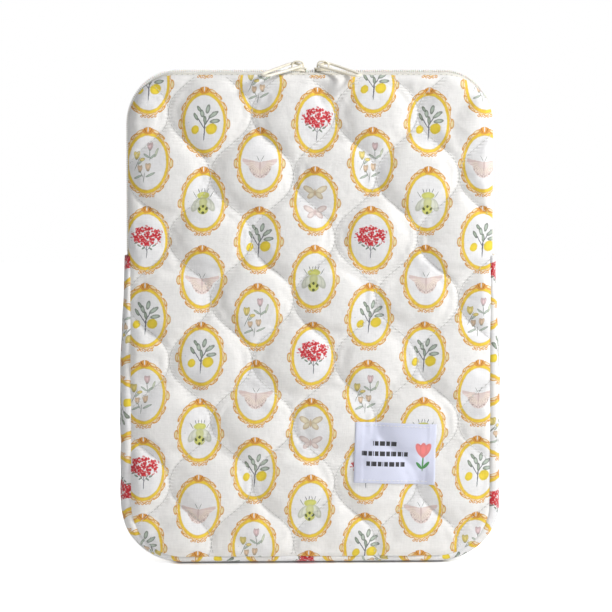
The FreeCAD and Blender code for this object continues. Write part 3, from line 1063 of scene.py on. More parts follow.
def make_panel(name, side, material, body, node_names):
    """A closed quilted panel on the front (side -1) or back (side 1)."""
    bm = bmesh.new()
    bm.from_mesh(sewn)
    for vert in bm.verts:
        x, z = vert.co.x, vert.co.z
        vert.co = (x, -panel_depth(x, z, -vert.co.y), raised(z))
    seam = bm.verts.layers.float.new("seam")
    for vert in bm.verts:
        vert[seam] = math.exp(-min(quilt_lines(vert.co.x, vert.co.z)) / GATHER_WIDE)
    for vert in extruded_points(bm):
        vert.co.y = -INSIDE_Y
    if side > 0:
        bmesh.ops.scale(bm, verts=bm.verts, vec=(1, -1, 1))
    bmesh.ops.recalc_face_normals(bm, faces=bm.faces)
    panel = finish(name, bm, material, body, node_names)
    return panel


front_nodes = ["front_lower_cover", "front_lower_wadding", "front_upper_cover", "front_upper_wadding"]
front_panel = make_panel("front_panel", -1, front_cotton, None, front_nodes)
back_panel = make_panel("back_panel", 1, back_cotton, "shell", ["back_cover", "back_wadding"])

# %% [markdown]
# ## Lining
# The lining is quilted by the same stitches, so it shows the same pattern from inside the pocket.

# %% Lining cloth
def lining_cloth():
    """Cream polyester lining, slightly shiny."""
    material, graph, shader = new_material("lining", roughness=0.62, sheen=0.3)
    place = graph.pattern()
    threads = cloth_bumps(graph, shader, place, 0.3, 0.7)
    mottle = graph.between(graph.noise(place, 0.03), 0.35, 0.65)
    colour = graph.mix(mottle, tone(232, 226, 212), tone(240, 235, 224))
    # Painted shade: the lining is darker where its threads lie low, between them.
    colour = graph.mix(graph.between(threads, 0.2, 1.2, 0.12, 0.0), colour, tone(196, 188, 172))
    graph.tree.links.new(colour, shader["Base Color"])
    return material


lining_material = lining_cloth()
print("lining cloth:", lining_material.name)

# %% [markdown]
# ## Lining sheets
# A lining needs no simulation, because it is stretched flat over the wadding. The same puff that raises
# the print lets the lining swell a little between its stitches.

# %% Lining sheets
LINING_CELL = 3.4 * MM
LINING_SWELL = 1.1 * MM
LINING_THICK = 0.25 * MM


def make_lining(name, side, body, node_names):
    """A thin sheet against the inside of a panel."""
    bm = flat_panel(LINING_CELL, SEAM_INSET + 0.6 * MM)
    for vert in bm.verts:
        x, z = vert.co.x, vert.co.z
        swell = LINING_SWELL * puff(x, z, 3.5 * MM) + 0.2 * MM * bumpy(x, 0, z, 14 * MM, 6.0)
        vert.co = (x, side * (LINING_Y + 0.75 * MM - swell), raised(z))
    for vert in extruded_points(bm):
        vert.co.y -= side * LINING_THICK
    bmesh.ops.recalc_face_normals(bm, faces=bm.faces)
    lining = finish(name, bm, lining_material, body, node_names)
    return lining


front_lining = make_lining("front_lining_sheet", -1, None, ["front_lower_lining", "front_upper_lining"])
back_lining = make_lining("back_lining_sheet", 1, "shell", ["back_lining"])

# %% [markdown]
# ## Thread
# Sewing thread is two or three plies twisted together, so light catches it in slanting bands. A wave
# texture across each stitch gives that twist as a bump and as a shade.

# %% Thread
def thread_material(name, colour):
    """Twisted polyester thread."""
    material, graph, shader = new_material(name, roughness=0.5, sheen=0.2)
    place = graph.position()
    feeds = {"Vector": place, "Scale": 1.6, "Distortion": 1.5}
    twist = graph.add("TexWave", feeds, out=1, bands_direction="DIAGONAL")
    raise_bumps(graph, shader, twist, 0.05 * MM)
    dark = tone(*(0.86 * value for value in colour))
    shade = graph.mix(graph.between(twist, 0.1, 0.7), dark, tone(*colour))
    graph.tree.links.new(shade, shader["Base Color"])
    return material


thread = thread_material("quilting thread", (214, 213, 210))
zip_thread = thread_material("zip thread", (208, 206, 203))
print("threads:", thread.name, "and", zip_thread.name)

# %% [markdown]
# ## One stitch
# A stitch is a short round thread that dips into the cloth at both ends. A ball stretched along the
# thread has that shape. There are thousands of stitches, so one small ball is made once, and each
# stitch is a copy of it that is turned, stretched and half sunk in the cloth.

# %% One stitch
STITCH_OVERLAP = 0.2 * MM


def ball_mesh():
    """A small ball with its poles along X, for stretching into stitches."""
    bm = bmesh.new()
    turn = Matrix.Rotation(math.pi / 2, 4, "Y")
    bmesh.ops.create_uvsphere(bm, u_segments=6, v_segments=4, radius=1, matrix=turn)
    return to_mesh("ball", bm)


ball = ball_mesh()


def add_copy(bm, mesh, place):
    """Adds a copy of a small mesh at a place."""
    copy = mesh.copy()
    copy.transform(place)
    bm.from_mesh(copy)
    bpy.data.meshes.remove(copy)


def add_stitch(bm, start, end, outward, radius):
    """One stitch: a stretched ball between two points, half sunk in the cloth."""
    along = (end - start).normalized()
    across = outward.cross(along).normalized()
    turn = Matrix((along, across, along.cross(across))).transposed().to_4x4()
    size = Matrix.Diagonal((0.5 * (end - start).length + STITCH_OVERLAP, radius, radius, 1))
    place = Matrix.Translation((start + end) / 2 + outward * 0.3 * radius) @ turn @ size
    add_copy(bm, ball, place)


print("faces of one stitch:", len(ball.polygons))

# %% [markdown]
# ## Following the quilting
# Each quilting line is walked in fine steps, and every stitch is laid between two points found on the
# cloth itself by a ray that looks at it straight on. In that way the stitches stay on the cloth however
# it is shaped.

# %% Finding the cloth and the lines
def cloth_finder(mesh):
    """Gives a function that finds the cloth on a line from front to back."""
    points = [vert.co for vert in mesh.vertices]
    tree = BVHTree.FromPolygons(points, [face.vertices for face in mesh.polygons])

    def find(x, z, start, way):
        """The first point of the cloth from a start depth, going one way, 1 or -1."""
        return tree.ray_cast(Vector((x, start, z)), Vector((0, way, 0)))[0]

    return find


LANES = range(-6, 9)
LINE_STEPS = 4000


def quilting_points():
    """Points a fine step apart along every quilting line that crosses the panel."""
    for way in (1, -1):
        for lane in LANES:
            line = []
            for step in range(LINE_STEPS):
                t = -1 + 10 * step / LINE_STEPS
                x = QUILT_NODE[0] + QUILT_HALF_WIDE * (way * quilt_course(t) + 2 * lane)
                z = QUILT_NODE[1] - QUILT_HIGH * t
                within = abs(x) < HALF_WIDE and 0 < z < TOP
                if within and edge_distance(x, z) > SEAM_INSET + 1.5 * MM:
                    line.append((x, z))
                elif line:
                    yield line
                    line = []
            if line:
                yield line


print("pieces of quilting line on a panel:", sum(1 for _ in quilting_points()))

# %% [markdown]
# ## The quilting stitches
# The same lines carry the stitches of all four faces. A thread is laid for the length of a stitch, then
# runs below the cloth for a short gap, and comes up again.

# %% Quilting stitches
STITCH = 2.0 * MM
STITCH_STEP = 2.85 * MM
THREAD_RADIUS = 0.27 * MM
FINE_THREAD = 0.2 * MM
OUTSIDE = 50 * MM


def make_stitches(name, cloth, start_depth, way, body, radius=THREAD_RADIUS):
    """All the quilting stitches on one face of a quilted cloth."""
    find = cloth_finder(cloth.data)
    bm = bmesh.new()
    for line in quilting_points():
        gone, start = 0.0, line[0]
        for before, here in zip(line, line[1:]):
            gone += math.dist(before, here)
            if start and gone > STITCH:
                ends = [find(x, raised(z), start_depth, way) for x, z in (start, here)]
                if all(ends):
                    add_stitch(bm, *ends, Vector((0, -way, 0)), radius)
                start = None
            elif gone > STITCH_STEP:
                gone, start = 0.0, here
    return finish(name, bm, thread, body)


make_stitches("front_quilting_thread", front_panel, -OUTSIDE, 1, None)
make_stitches("back_quilting_thread", back_panel, OUTSIDE, -1, "shell")
make_stitches("front_lining_thread", front_lining, 0, -1, None, FINE_THREAD)
make_stitches("back_lining_thread", back_lining, 0, 1, "shell", FINE_THREAD)

# %% [markdown]
# ## Strips swept along the outline
# The edge band, its lining, the zip tapes and the seam bindings are all strips bent round the outline.
# A flat grid is made for each, and every point is placed by how far along and across the strip it is.

# %% A strip bent round the outline
CELLS_ACROSS = 22


def width_of(section):
    """The width of a strip when it is laid flat."""
    points = [section(number / CELLS_ACROSS, 0) for number in range(CELLS_ACROSS + 1)]
    return sum(math.dist(here, there) for here, there in zip(points, points[1:]))


def sweep_strip(wrap, section, step, thick, start=0.0, end=None):
    """A thin strip along a path. The section gives depth and height for a share across."""
    end = wrap.length if end is None else end
    bm = bmesh.new()
    cells = round((end - start) / step)
    bmesh.ops.create_grid(bm, x_segments=cells, y_segments=CELLS_ACROSS, size=0.5)
    bmesh.ops.translate(bm, verts=bm.verts, vec=(0.5, 0.5, 0))
    width = width_of(section)
    set_pattern(bm, lambda co: ((co.y - 0.5) * width, start + co.x * (end - start)))
    lower = set(extruded_points(bm))
    for vert in bm.verts:
        along = start + vert.co.x * (end - start)
        depth, out = section(vert.co.y, along)
        if vert in lower:
            here = section(max(0.0, vert.co.y - 0.01), along)
            there = section(min(1.0, vert.co.y + 0.01), along)
            slope = Vector((there[0] - here[0], there[1] - here[1])).normalized()
            depth, out = depth + slope.y * thick, out - slope.x * thick
        vert.co = wrap.place(along, depth, out)
    bmesh.ops.recalc_face_normals(bm, faces=bm.faces)
    return bm


def mirrored_depth(bm):
    """The same strip for the back half of the sleeve."""
    bmesh.ops.scale(bm, verts=bm.verts, vec=(1, -1, 1))
    bmesh.ops.reverse_faces(bm, faces=bm.faces)
    return bm


print(f"a strip has {CELLS_ACROSS} cells across")

# %% [markdown]
# ## The edge band
# Below the zip the sides and the bottom are one padded strip of the same print. It swells a little
# between its two seams. The sleeve's weight presses it flat where it stands, and near its ends the
# closed zip draws it in.

# %% The band's section
SEAM_FOOT = -BAND_FOOT + 0.1 * MM
BAND_SWELL = 3.0 * MM
ZIP_DRAWS_IN = 3.6 * MM


def band_section(share, along):
    """The padded band, from its front seam over its swell to its back seam."""
    turn = math.pi * share
    depth = -BAND_HALF * math.cos(turn)
    swell = math.sin(turn) ** 0.45
    from_middle = abs(along - band_wrap.length / 2) - band_wrap.span / 2
    standing = smooth_step(from_middle, 0, band_wrap.arc)
    full = BAND_SWELL * standing
    soft = bumpy(along, depth, 0, 16 * MM, 3.0) * 0.5 * MM * standing
    near_end = min(along, band_wrap.length - along)
    pulled_in = ZIP_DRAWS_IN * (1 - smooth_step(near_end, 0, 90 * MM))
    return depth, SEAM_FOOT + (full + soft - pulled_in - SEAM_FOOT) * swell


print(f"the band is {1000 * width_of(band_section):.1f} mm wide when flat")

# %% [markdown]
# ## The band in one piece
# The section is bent round the outline with a few millimetres of thickness. Under the sleeve the band
# may not sink into the floor, so its lowest points are pressed softly instead of being cut off flat.

# %% The edge band
PRESSED = 0.5 * MM
BAND_THICK = 2.4 * MM
padding = sweep_strip(band_wrap, band_section, 3 * MM, BAND_THICK)
for vert in padding.verts:
    if vert.co.z < PRESSED:
        vert.co.z = PRESSED * math.exp(vert.co.z / PRESSED - 1)
band_nodes = ["edge_band_cover", "edge_band_wadding"]
band = finish("edge_band", padding, band_cotton, "shell", band_nodes)

# %% [markdown]
# ## The band's lining
# Inside, the band is lined with the same cloth as the panels. It spans the gap between the two panel
# linings.

# %% The band's lining
def band_lining_section(share, along):
    """Lining on the inside of the band."""
    depth = (2 * share - 1) * (LINING_Y + 0.3 * MM)
    return depth, -4.0 * MM - 0.3 * MM * bumpy(along, depth, 0, 20 * MM, 9.0)


strip = sweep_strip(band_wrap, band_lining_section, 4 * MM, 0.4 * MM)
strip_node = ["edge_band_lining"]
band_lining = finish("edge_band_lining_sheet", strip, lining_material, "shell", strip_node)

# %% [markdown]
# ## Woven tape
# Binding tape and zip tape are woven with ribs across them. Two sine waves, one along the tape for the
# ribs and a finer one across it for the cords, make that weave in the tape's own coordinates, so that
# the ribs stay square to the edge all the way round the corners.

# %% Woven tape
CORD_PITCH = 0.55


def tape_cloth(name, colour, dark, rib):
    """Woven tape with ribs across it."""
    material, graph, shader = new_material(name, roughness=0.75, sheen=0.25)
    place = graph.pattern()
    across, along = graph.x_and_y(place)
    ribs = graph.math("SINE", graph.math("MULTIPLY", along, 2 * math.pi / rib))
    cords = graph.math("SINE", graph.math("MULTIPLY", across, 2 * math.pi / CORD_PITCH))
    fuzz = graph.noise(place, 1.4)
    height = graph.math("MULTIPLY_ADD", fuzz, 1.2, graph.math("MULTIPLY_ADD", cords, 0.4, ribs))
    raise_bumps(graph, shader, height, 0.07 * MM)
    # Painted shade: the tape takes its darker tone in the troughs between its ribs and cords.
    shade = graph.mix(graph.between(height, -0.6, 1.4), tone(*dark), tone(*colour))
    graph.tree.links.new(shade, shader["Base Color"])
    return material


binding_material = tape_cloth("binding tape", (236, 228, 210), (204, 194, 172), 0.7)
zip_material = tape_cloth("zip tape", (248, 246, 238), (230, 226, 214), 0.6)
print("tapes:", binding_material.name, "and", zip_material.name)

# %% [markdown]
# ## Seam bindings
# Inside the pocket the raw edges of each seam are covered by a folded tape. It is a strip with a
# U-shaped section, bent round the same outline. The front one is cut at the fold, because its upper
# half opens with the zip.

# %% Bindings inside the seams
def binding_section(share, along):
    """A folded tape that stands out from the seam."""
    turn = math.pi * share
    soft = 0.12 * MM * bumpy(along, share, 0, 9 * MM, 2.0)
    depth = -LINING_Y + 0.3 * MM + 3.7 * MM * math.sin(turn) ** 0.5
    return depth, -BAND_FOOT - 0.75 * MM + 0.5 * MM * math.cos(turn) + soft


def make_binding(name, wrap, side, body, node_names):
    """One length of folded tape."""
    end = wrap.length - 0.5 * MM
    bm = sweep_strip(wrap, binding_section, 4 * MM, 0.3 * MM, start=0.5 * MM, end=end)
    if side > 0:
        mirrored_depth(bm)
    return finish(name, bm, binding_material, body, node_names)


make_binding("front_lower_binding", band_wrap, -1, "shell", ["front_lower_seam_binding"])
make_binding("front_upper_binding", zip_wrap, -1, "flap", ["front_upper_seam_binding"])
make_binding("back_lower_binding", band_wrap, 1, "shell", ["back_seam_binding"])
make_binding("back_upper_binding", zip_wrap, 1, "shell", ["back_seam_binding"])

# %% [markdown]
# ## Zip tapes
# A nylon coil zip has two woven tapes, sewn to the panels on one side and carrying a coil on the other.
# The wadding pushes the panels up beside them, so each tape falls away from the coil towards its seam.

# %% Zip tapes
TAPE_LEVEL = 4 * MM
TAPE_FALL = 2.5 * MM
ROW_GAP = 0.5 * MM
TAPE_END = 0.6 * MM
SIDE_PULL = 4.0 * MM


def side_pull(along):
    """How far the wadding draws the zip in at the sides, below the top corners."""
    past_corner = min(along, zip_wrap.length - along) - zip_wrap.leg
    return SIDE_PULL * (1 - smooth_step(past_corner, 0, zip_wrap.arc))


def tape_section(share, along):
    """From the seam with the panel up to the edge that carries the coil."""
    depth = -BAND_HALF + 0.3 * MM + share * (BAND_HALF - 0.3 * MM - ROW_GAP)
    fall = max(0.0, (-depth - TAPE_LEVEL) / (BAND_HALF - TAPE_LEVEL))
    soft = 0.22 * MM * bumpy(along, depth, 0, 12 * MM, 5.0) * math.sin(math.pi * share)
    turned_in = (BAND_FOOT - TAPE_FALL) * (1 - smooth_step(share, 0.0, 0.1))
    return depth, soft - TAPE_FALL * fall**1.3 - turned_in - 0.05 * MM - side_pull(along)


def make_tape(name, side, body, node_name):
    """One of the two tapes of the zip."""
    end = zip_wrap.length - TAPE_END
    bm = sweep_strip(zip_wrap, tape_section, 2.5 * MM, 0.6 * MM, start=TAPE_END, end=end)
    if side > 0:
        mirrored_depth(bm)
    return finish(name, bm, zip_material, body, [node_name])


make_tape("front_tape", -1, "flap", "front_zip_tape")
make_tape("back_tape", 1, "shell", "back_zip_tape")

# %% [markdown]
# ## Nylon
# The coils are bent from one nylon wire, which is cream and a little see-through. A small amount of
# subsurface light keeps their shadows soft.

# %% Nylon
def nylon():
    """Cream nylon, slightly see-through at its edges."""
    material, graph, shader = new_material("nylon coil", roughness=0.35, coat=0.1)
    place = graph.position()
    mottle = graph.noise(place, 0.8, 3.0)
    colour = graph.mix(graph.between(mottle, 0.35, 0.65), tone(246, 243, 233), tone(252, 251, 246))
    graph.tree.links.new(colour, shader["Base Color"])
    shader["Subsurface Weight"].default_value = 0.15
    shader["Subsurface Scale"].default_value = 0.5 * MM
    raise_bumps(graph, shader, mottle, 0.03 * MM)
    return material


nylon_material = nylon()
print("coil material:", nylon_material.name)

# %% [markdown]
# ## Coils
# A coil is one turn of wire after another. Hundreds of turns are needed, so one turn is spun from a
# circle into a ring of a few dozen faces and pressed oval, and copies of it are set along the path.

# %% One turn of the coil
WIRE = 0.42 * MM
TURN_LONG = 1.2 * MM
TURN_HIGH = 1.0 * MM


def ring_mesh(long_radius, high_radius, wire, around=12, sides=5):
    """One turn of the coil: a circle spun into a ring, then pressed oval."""
    bm = bmesh.new()
    upright = Matrix.Translation((1, 0, 0)) @ Matrix.Rotation(math.pi / 2, 4, "X")
    section = bmesh.ops.create_circle(bm, segments=sides, radius=wire, matrix=upright)
    edges = list({edge for vert in section["verts"] for edge in vert.link_edges})
    geometry = section["verts"] + edges
    whole = {"angle": 2 * math.pi, "steps": around, "use_merge": True}
    bmesh.ops.spin(bm, geom=geometry, cent=(0, 0, 0), axis=(0, 0, 1), **whole)
    for vert in bm.verts:
        radius = math.hypot(vert.co.x, vert.co.y)
        turn = math.atan2(vert.co.y, vert.co.x)
        across = radius - 1
        long, high = long_radius + across, high_radius + across
        vert.co = (vert.co.z, long * math.cos(turn), high * math.sin(turn))
    bmesh.ops.recalc_face_normals(bm, faces=bm.faces)
    return to_mesh("turn of the coil", bm)


coil_turn = ring_mesh(TURN_LONG - WIRE, TURN_HIGH - WIRE, WIRE)
print("faces of one turn:", len(coil_turn.polygons))

# %% [markdown]
# ## Two rows of coil
# The two rows lie close beside each other and lean opposite ways, as the turns of a closed zip do when
# they hook into each other.

# %% Coils
COIL_PITCH = 1.5 * MM
COIL_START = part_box("front_zip_coil")[0].z - FOLD
COIL_MIDDLE = 1.7 * MM
COIL_LEAN = 0.16


def make_coil(name, side, body, node_name):
    """One row of the zip."""
    bm = bmesh.new()
    lean = Matrix.Rotation(COIL_LEAN * side, 4, "Z")
    along = COIL_START + WIRE
    while along < zip_wrap.length - COIL_START - WIRE:
        spot = zip_wrap.frame_at(along, side * COIL_MIDDLE, TURN_HIGH - side_pull(along))
        add_copy(bm, coil_turn, spot @ lean)
        along += COIL_PITCH
    return finish(name, bm, nylon_material, body, [node_name])


make_coil("front_coil", -1, "flap", "front_zip_coil")
make_coil("back_coil", 1, "shell", "back_zip_coil")

# %% [markdown]
# ## Seams along the zip
# One row of stitches holds each tape to its panel. The row lies a little inside the tape's edge and
# follows it round the corners.

# %% Seams along the zip
SEAM_SHARE = 0.13
SEAM_STITCH = 1.4 * MM
SEAM_STEP = 3.9 * MM
SEAM_END = 3 * MM
SEAM_THREAD = 0.24 * MM


def make_tape_seam(name, side, body):
    """The row of stitches that holds a tape to its panel."""
    bm = bmesh.new()
    along = SEAM_END
    while along < zip_wrap.length - SEAM_END:
        ends = []
        for offset in (0, SEAM_STITCH):
            depth, out = tape_section(SEAM_SHARE, along + offset)
            ends.append(zip_wrap.place(along + offset, depth, out))
        above, below = (zip_wrap.place(along, depth, out + lift) for lift in (MM, 0))
        add_stitch(bm, *ends, (above - below).normalized(), SEAM_THREAD)
        along += SEAM_STEP
    if side > 0:
        mirrored_depth(bm)
    return finish(name, bm, zip_thread, body)


make_tape_seam("front_tape_seam", -1, "flap")
make_tape_seam("back_tape_seam", 1, "shell")

# %% [markdown]
# ## Cream enamel
# The sliders, the pulls and the end stops are cast metal under thick cream enamel. The enamel is glossy
# and slightly uneven, and it is rubbed thin on the sharpest edges, which the renderer finds for itself
# from how pointed the surface is.

# %% Cream enamel
def enamel():
    """Cream enamel over zinc, rubbed thin on sharp edges."""
    material, graph, shader = new_material("cream enamel", roughness=0.3, coat=0.5)
    place = graph.position()
    mottle = graph.noise(place, 0.35, 3.0)
    peel = graph.noise(place, 1.1, 1.0)
    colour = graph.mix(graph.between(mottle, 0.35, 0.65), tone(233, 226, 207), tone(243, 238, 222))
    sharp = graph.between(graph.add("NewGeometry", out=7), 0.56, 0.68)
    patchy = graph.between(graph.noise(place, 0.9, 4.0), 0.56, 0.7)
    rubbed = graph.math("MULTIPLY", sharp, patchy)
    colour = graph.mix(graph.math("MULTIPLY", rubbed, 0.7), colour, tone(176, 168, 150))
    graph.tree.links.new(colour, shader["Base Color"])
    raise_bumps(graph, shader, peel, 0.05 * MM)
    return material


enamel_material = enamel()
print("metal parts:", enamel_material.name)

# %% [markdown]
# ## Tubes for loops and arches
# The pulls and the sliders' arches are bars bent in one plane. A flat grid is wrapped round the path of
# such a bar, its two long edges are merged, and any open ends are filled, which gives a closed tube.
# Cast bars aren't quite round, and a power below one makes the round section squarer.

# %% Tubes for loops and arches
BAR_SQUARENESS = 0.65


def rounded_power(value, power):
    """A power that keeps its sign, for round-cornered outlines."""
    return math.copysign(abs(value) ** power, value)


def sweep_tube(path, normal, half_in_plane, half_across, steps, around=16):
    """A tube along a path that stays in one plane. The path gives a point for a share from 0 to 1."""
    bm = bmesh.new()
    bmesh.ops.create_grid(bm, x_segments=steps, y_segments=around, size=0.5)
    for vert in bm.verts:
        share, turn = vert.co.x + 0.5, 2 * math.pi * (vert.co.y + 0.5)
        along = (path(share + 1e-3) - path(share - 1e-3)).normalized()
        in_plane = half_in_plane * rounded_power(math.cos(turn), BAR_SQUARENESS)
        across = half_across * rounded_power(math.sin(turn), BAR_SQUARENESS)
        vert.co = path(share) + normal.cross(along) * in_plane + normal * across
    bmesh.ops.remove_doubles(bm, verts=bm.verts, dist=1e-6)
    bmesh.ops.holes_fill(bm, edges=[edge for edge in bm.edges if edge.is_boundary])
    bmesh.ops.recalc_face_normals(bm, faces=bm.faces)
    return bm


squared = rounded_power(math.sin(math.pi / 4), BAR_SQUARENESS)
print("height of a squared bar at 45 degrees:", round(squared, 3))

# %% [markdown]
# ## Cast plates
# A slider's plates and walls are small blocks with rounded edges. A cube is scaled to size, its upright
# edges are bevelled wide for the corners seen from above, and then its rims are bevelled finely, so
# that each edge catches the light.

# %% Cast plates
def cast_plate(middle, half_long, half_wide, thick, narrow_end=0, dome=0.0):
    """A flat cast plate with rounded edges, which may be narrower at one end and slightly domed."""
    bm = bmesh.new()
    bmesh.ops.create_cube(bm, size=1)
    bmesh.ops.scale(bm, vec=(2 * half_long, 2 * half_wide, thick), verts=bm.verts)
    for vert in bm.verts:
        if vert.co.x * narrow_end > 0:
            vert.co.y *= 0.8
    corner = min(1.8 * MM, 0.9 * half_wide, 0.9 * half_long)
    round_over = {"affect": "EDGES", "profile": 0.5, "material": -1}
    upright = [edge for edge in bm.edges if abs(edge.verts[0].co.z - edge.verts[1].co.z) > 0.5 * thick]
    bmesh.ops.bevel(bm, geom=upright, offset=corner, segments=5, **round_over)
    rims = [edge for edge in bm.edges if abs(edge.verts[0].co.z - edge.verts[1].co.z) < 1e-6]
    soft = min(0.3 * MM, 0.3 * thick, 0.3 * half_wide)
    bmesh.ops.bevel(bm, geom=rims, offset=soft, segments=3, **round_over)
    for vert in bm.verts:
        if vert.co.z > 0:
            vert.co.z += dome * max(0.0, 1 - (vert.co.x / half_long) ** 2)
        vert.co += middle
    return bm


def merge(bm, other):
    """Adds one bmesh to another."""
    mesh = to_mesh("part of a casting", other)
    bm.from_mesh(mesh)
    bpy.data.meshes.remove(mesh)


sample = cast_plate(Vector((0, 0, 0)), 6 * MM, 5 * MM, MM)
print("faces of one cast plate:", len(sample.faces))
sample.free()

# %% [markdown]
# ## Sliders
# A slider has an upper and a lower plate with the two coils between them, a post that parts the coils,
# and folded lips that keep them in on the front side. An arch on the upper plate holds the pull.

# %% Sliders
PLATE_TOP = 353.35 * MM
PLATE = 1.0 * MM
PLATE_HALF_WIDE = 4.85 * MM
LOWER_PLATE_Z = 347.8 * MM
SLIDER_X = 9 * MM
SLIDER_HALF = 6.5 * MM
POST = (3.7 * MM, 350.3 * MM, (2.4 * MM, 0.25 * MM, 5 * MM))
LIPS = ((351.6 * MM, 2 * MM), (348.4 * MM, 0.6 * MM))
LIP_Y = -3.9 * MM
ARCH_HALF = 4.0 * MM
ARCH_HIGH = 4.5 * MM


def make_slider(name, side, body, node_name):
    """A slider: two plates joined by a post, folded lips, and the arch for the pull."""
    bm = bmesh.new()
    x = side * SLIDER_X
    for z, dome in ((PLATE_TOP - PLATE / 2, 0.2 * MM), (LOWER_PLATE_Z, 0.0)):
        merge(bm, cast_plate(Vector((x, 0, z)), SLIDER_HALF, PLATE_HALF_WIDE, PLATE, side, dome))
    post_in, post_z, post_size = POST
    merge(bm, cast_plate(Vector((x - side * post_in, 0, post_z)), *post_size))
    for z, high in LIPS:
        merge(bm, cast_plate(Vector((x, LIP_Y, z)), 4.7 * MM, 0.5 * MM, high))

    def arch(share):
        """The path of the arch over the plate."""
        turn = math.pi * share
        sideways = ARCH_HALF * rounded_power(math.cos(turn), 0.75)
        upwards = (ARCH_HIGH + 0.4 * MM) * rounded_power(math.sin(turn), 0.6)
        return Vector((x - sideways, 0, PLATE_TOP - 0.4 * MM + upwards))

    merge(bm, sweep_tube(arch, Vector((0, 1, 0)), 0.6 * MM, 1.15 * MM, 40))
    return finish(name, bm, enamel_material, body, [node_name])


make_slider("slider_left_body", -1, "slider_left", "zip_slider_left")
make_slider("slider_right_body", 1, "slider_right", "zip_slider_right")

# %% [markdown]
# ## Pulls
# A pull is a long loop, wide where it hangs in the slider's arch and narrower at its free end. At rest
# both pulls lie outwards over the front, droop a little, and are rolled so that the loop shows.

# %% Pulls
PULL_LONG = 36 * MM
PULL_NEAR_HALF = 5.5 * MM
PULL_FAR_HALF = 3.1 * MM
PULL_HINGE = Vector((8.4 * MM, 0, 355.98 * MM))
PULL_SWING = math.radians(40)
PULL_DROOP = math.radians(14.5)
PULL_ROLL = math.radians(14)
PULL_BAR = (1.3 * MM, 0.75 * MM)
PULL_THINNER = 0.2 * MM


def make_pull(name, side, body, node_name):
    """A long loop that hangs over the front of the sleeve."""
    level = Vector((side * math.cos(PULL_SWING), -math.sin(PULL_SWING), 0))
    long_way = level * math.cos(PULL_DROOP) - Vector((0, 0, math.sin(PULL_DROOP)))
    level_across = Vector((side * math.sin(PULL_SWING), math.cos(PULL_SWING), 0))
    across = Matrix.Rotation(side * PULL_ROLL, 3, long_way) @ level_across
    hinge = Vector((side * PULL_HINGE.x, 0, PULL_HINGE.z))
    reach = (PULL_LONG - 2 * MM) / 2

    def loop(share):
        """The path of the loop's bar."""
        turn = 2 * math.pi * share
        out = rounded_power(math.cos(turn), 0.42)
        half = PULL_NEAR_HALF + (PULL_FAR_HALF - PULL_NEAR_HALF) * (out + 1) / 2 - PULL_THINNER
        ahead = reach * (1 + out) - PULL_THINNER * out
        return hinge + long_way * ahead + across * half * rounded_power(math.sin(turn), 0.55)

    bm = sweep_tube(loop, long_way.cross(across).normalized(), *PULL_BAR, 120)
    return finish(name, bm, enamel_material, body, [node_name])


make_pull("pull_left_loop", -1, "pull_left", "zip_pull_left")
make_pull("pull_right_loop", 1, "pull_right", "zip_pull_right")

# %% [markdown]
# ## End stops
# At each lower end of the zip a small block holds the two rows together, so that they can't part below
# it. It is a cast plate turned on its side.

# %% End stops
def make_stop(name, side, node_name):
    """An end stop over the two rows."""
    x = side * (HALF_WIDE + 0.7 * MM - side_pull(0))
    bm = cast_plate(Vector((0, 0, 0)), 1.4 * MM, 2.9 * MM, 1.5 * MM)
    bmesh.ops.rotate(bm, verts=bm.verts, cent=(0, 0, 0), matrix=Matrix.Rotation(side * math.pi / 2, 3, "Y"))
    bmesh.ops.translate(bm, verts=bm.verts, vec=(x, 0, FOLD + 1.8 * MM))
    return finish(name, bm, enamel_material, "shell", [node_name])


make_stop("stop_left", -1, "zip_end_stop_left")
make_stop("stop_right", 1, "zip_end_stop_right")

# %% [markdown]
# ## The label's marks
# The label is a small piece of satin ribbon. Where such a label would say something, it carries only
# three rows of plain woven dashes, which mean nothing, and a simple tulip. Each row is a band of
# heights, and two sine waves of different lengths break it into uneven dashes.

# %% The label's marks
LABEL_WHITE = tone(221, 225, 245)
LABEL_BLACK = tone(18, 18, 26)
LABEL_GREEN = tone(78, 150, 84)
LABEL_RED = tone(244, 134, 132)
DASH_ROWS = ((6.6, -16.0, 1.0, 3.0), (-0.6, -24.0, 9.5, 9.0), (-7.8, -21.0, 7.0, 5.0))


def woven_dashes(graph, place, colour):
    """Three rows of dashes. A row has a height, a start, an end and a seed for its rhythm."""
    x, y = graph.x_and_y(place)
    for height, start, end, seed in DASH_ROWS:
        row = graph.between(graph.math("ABSOLUTE", graph.math("SUBTRACT", y, height)), 1.75, 1.5)
        begun, not_over = graph.between(x, start - 0.2, start), graph.between(x, end + 0.2, end)
        reach = graph.math("MULTIPLY", begun, not_over)
        ripple = graph.math("SINE", graph.math("MULTIPLY_ADD", x, 3.9, 2 * seed))
        rhythm = graph.math("SINE", graph.math("MULTIPLY_ADD", x, 1.5, seed))
        dash = graph.between(graph.math("MULTIPLY_ADD", ripple, 0.55, rhythm), -0.75, -0.55)
        mark = graph.math("MULTIPLY", graph.math("MULTIPLY", row, reach), dash)
        colour = graph.mix(mark, colour, LABEL_BLACK)
    return colour


def woven_tulip(painter):
    """A tulip of three petals on a stem with two leaves."""
    painter.mark(LABEL_GREEN, 20.0, -6.6, 6.0, 0.6, 88)
    painter.mark(LABEL_GREEN, 22.4, -8.0, 3.4, 1.1, 48)
    painter.mark(LABEL_GREEN, 17.4, -8.4, 3.2, 1.1, 130)
    for turn in (60, 120, 90):
        lean = 4.4 * math.cos(math.radians(turn))
        painter.mark(LABEL_RED, 20.0 + lean, 2.8, 5.6, 2.6, turn)


print("rows of dashes on the label:", len(DASH_ROWS))
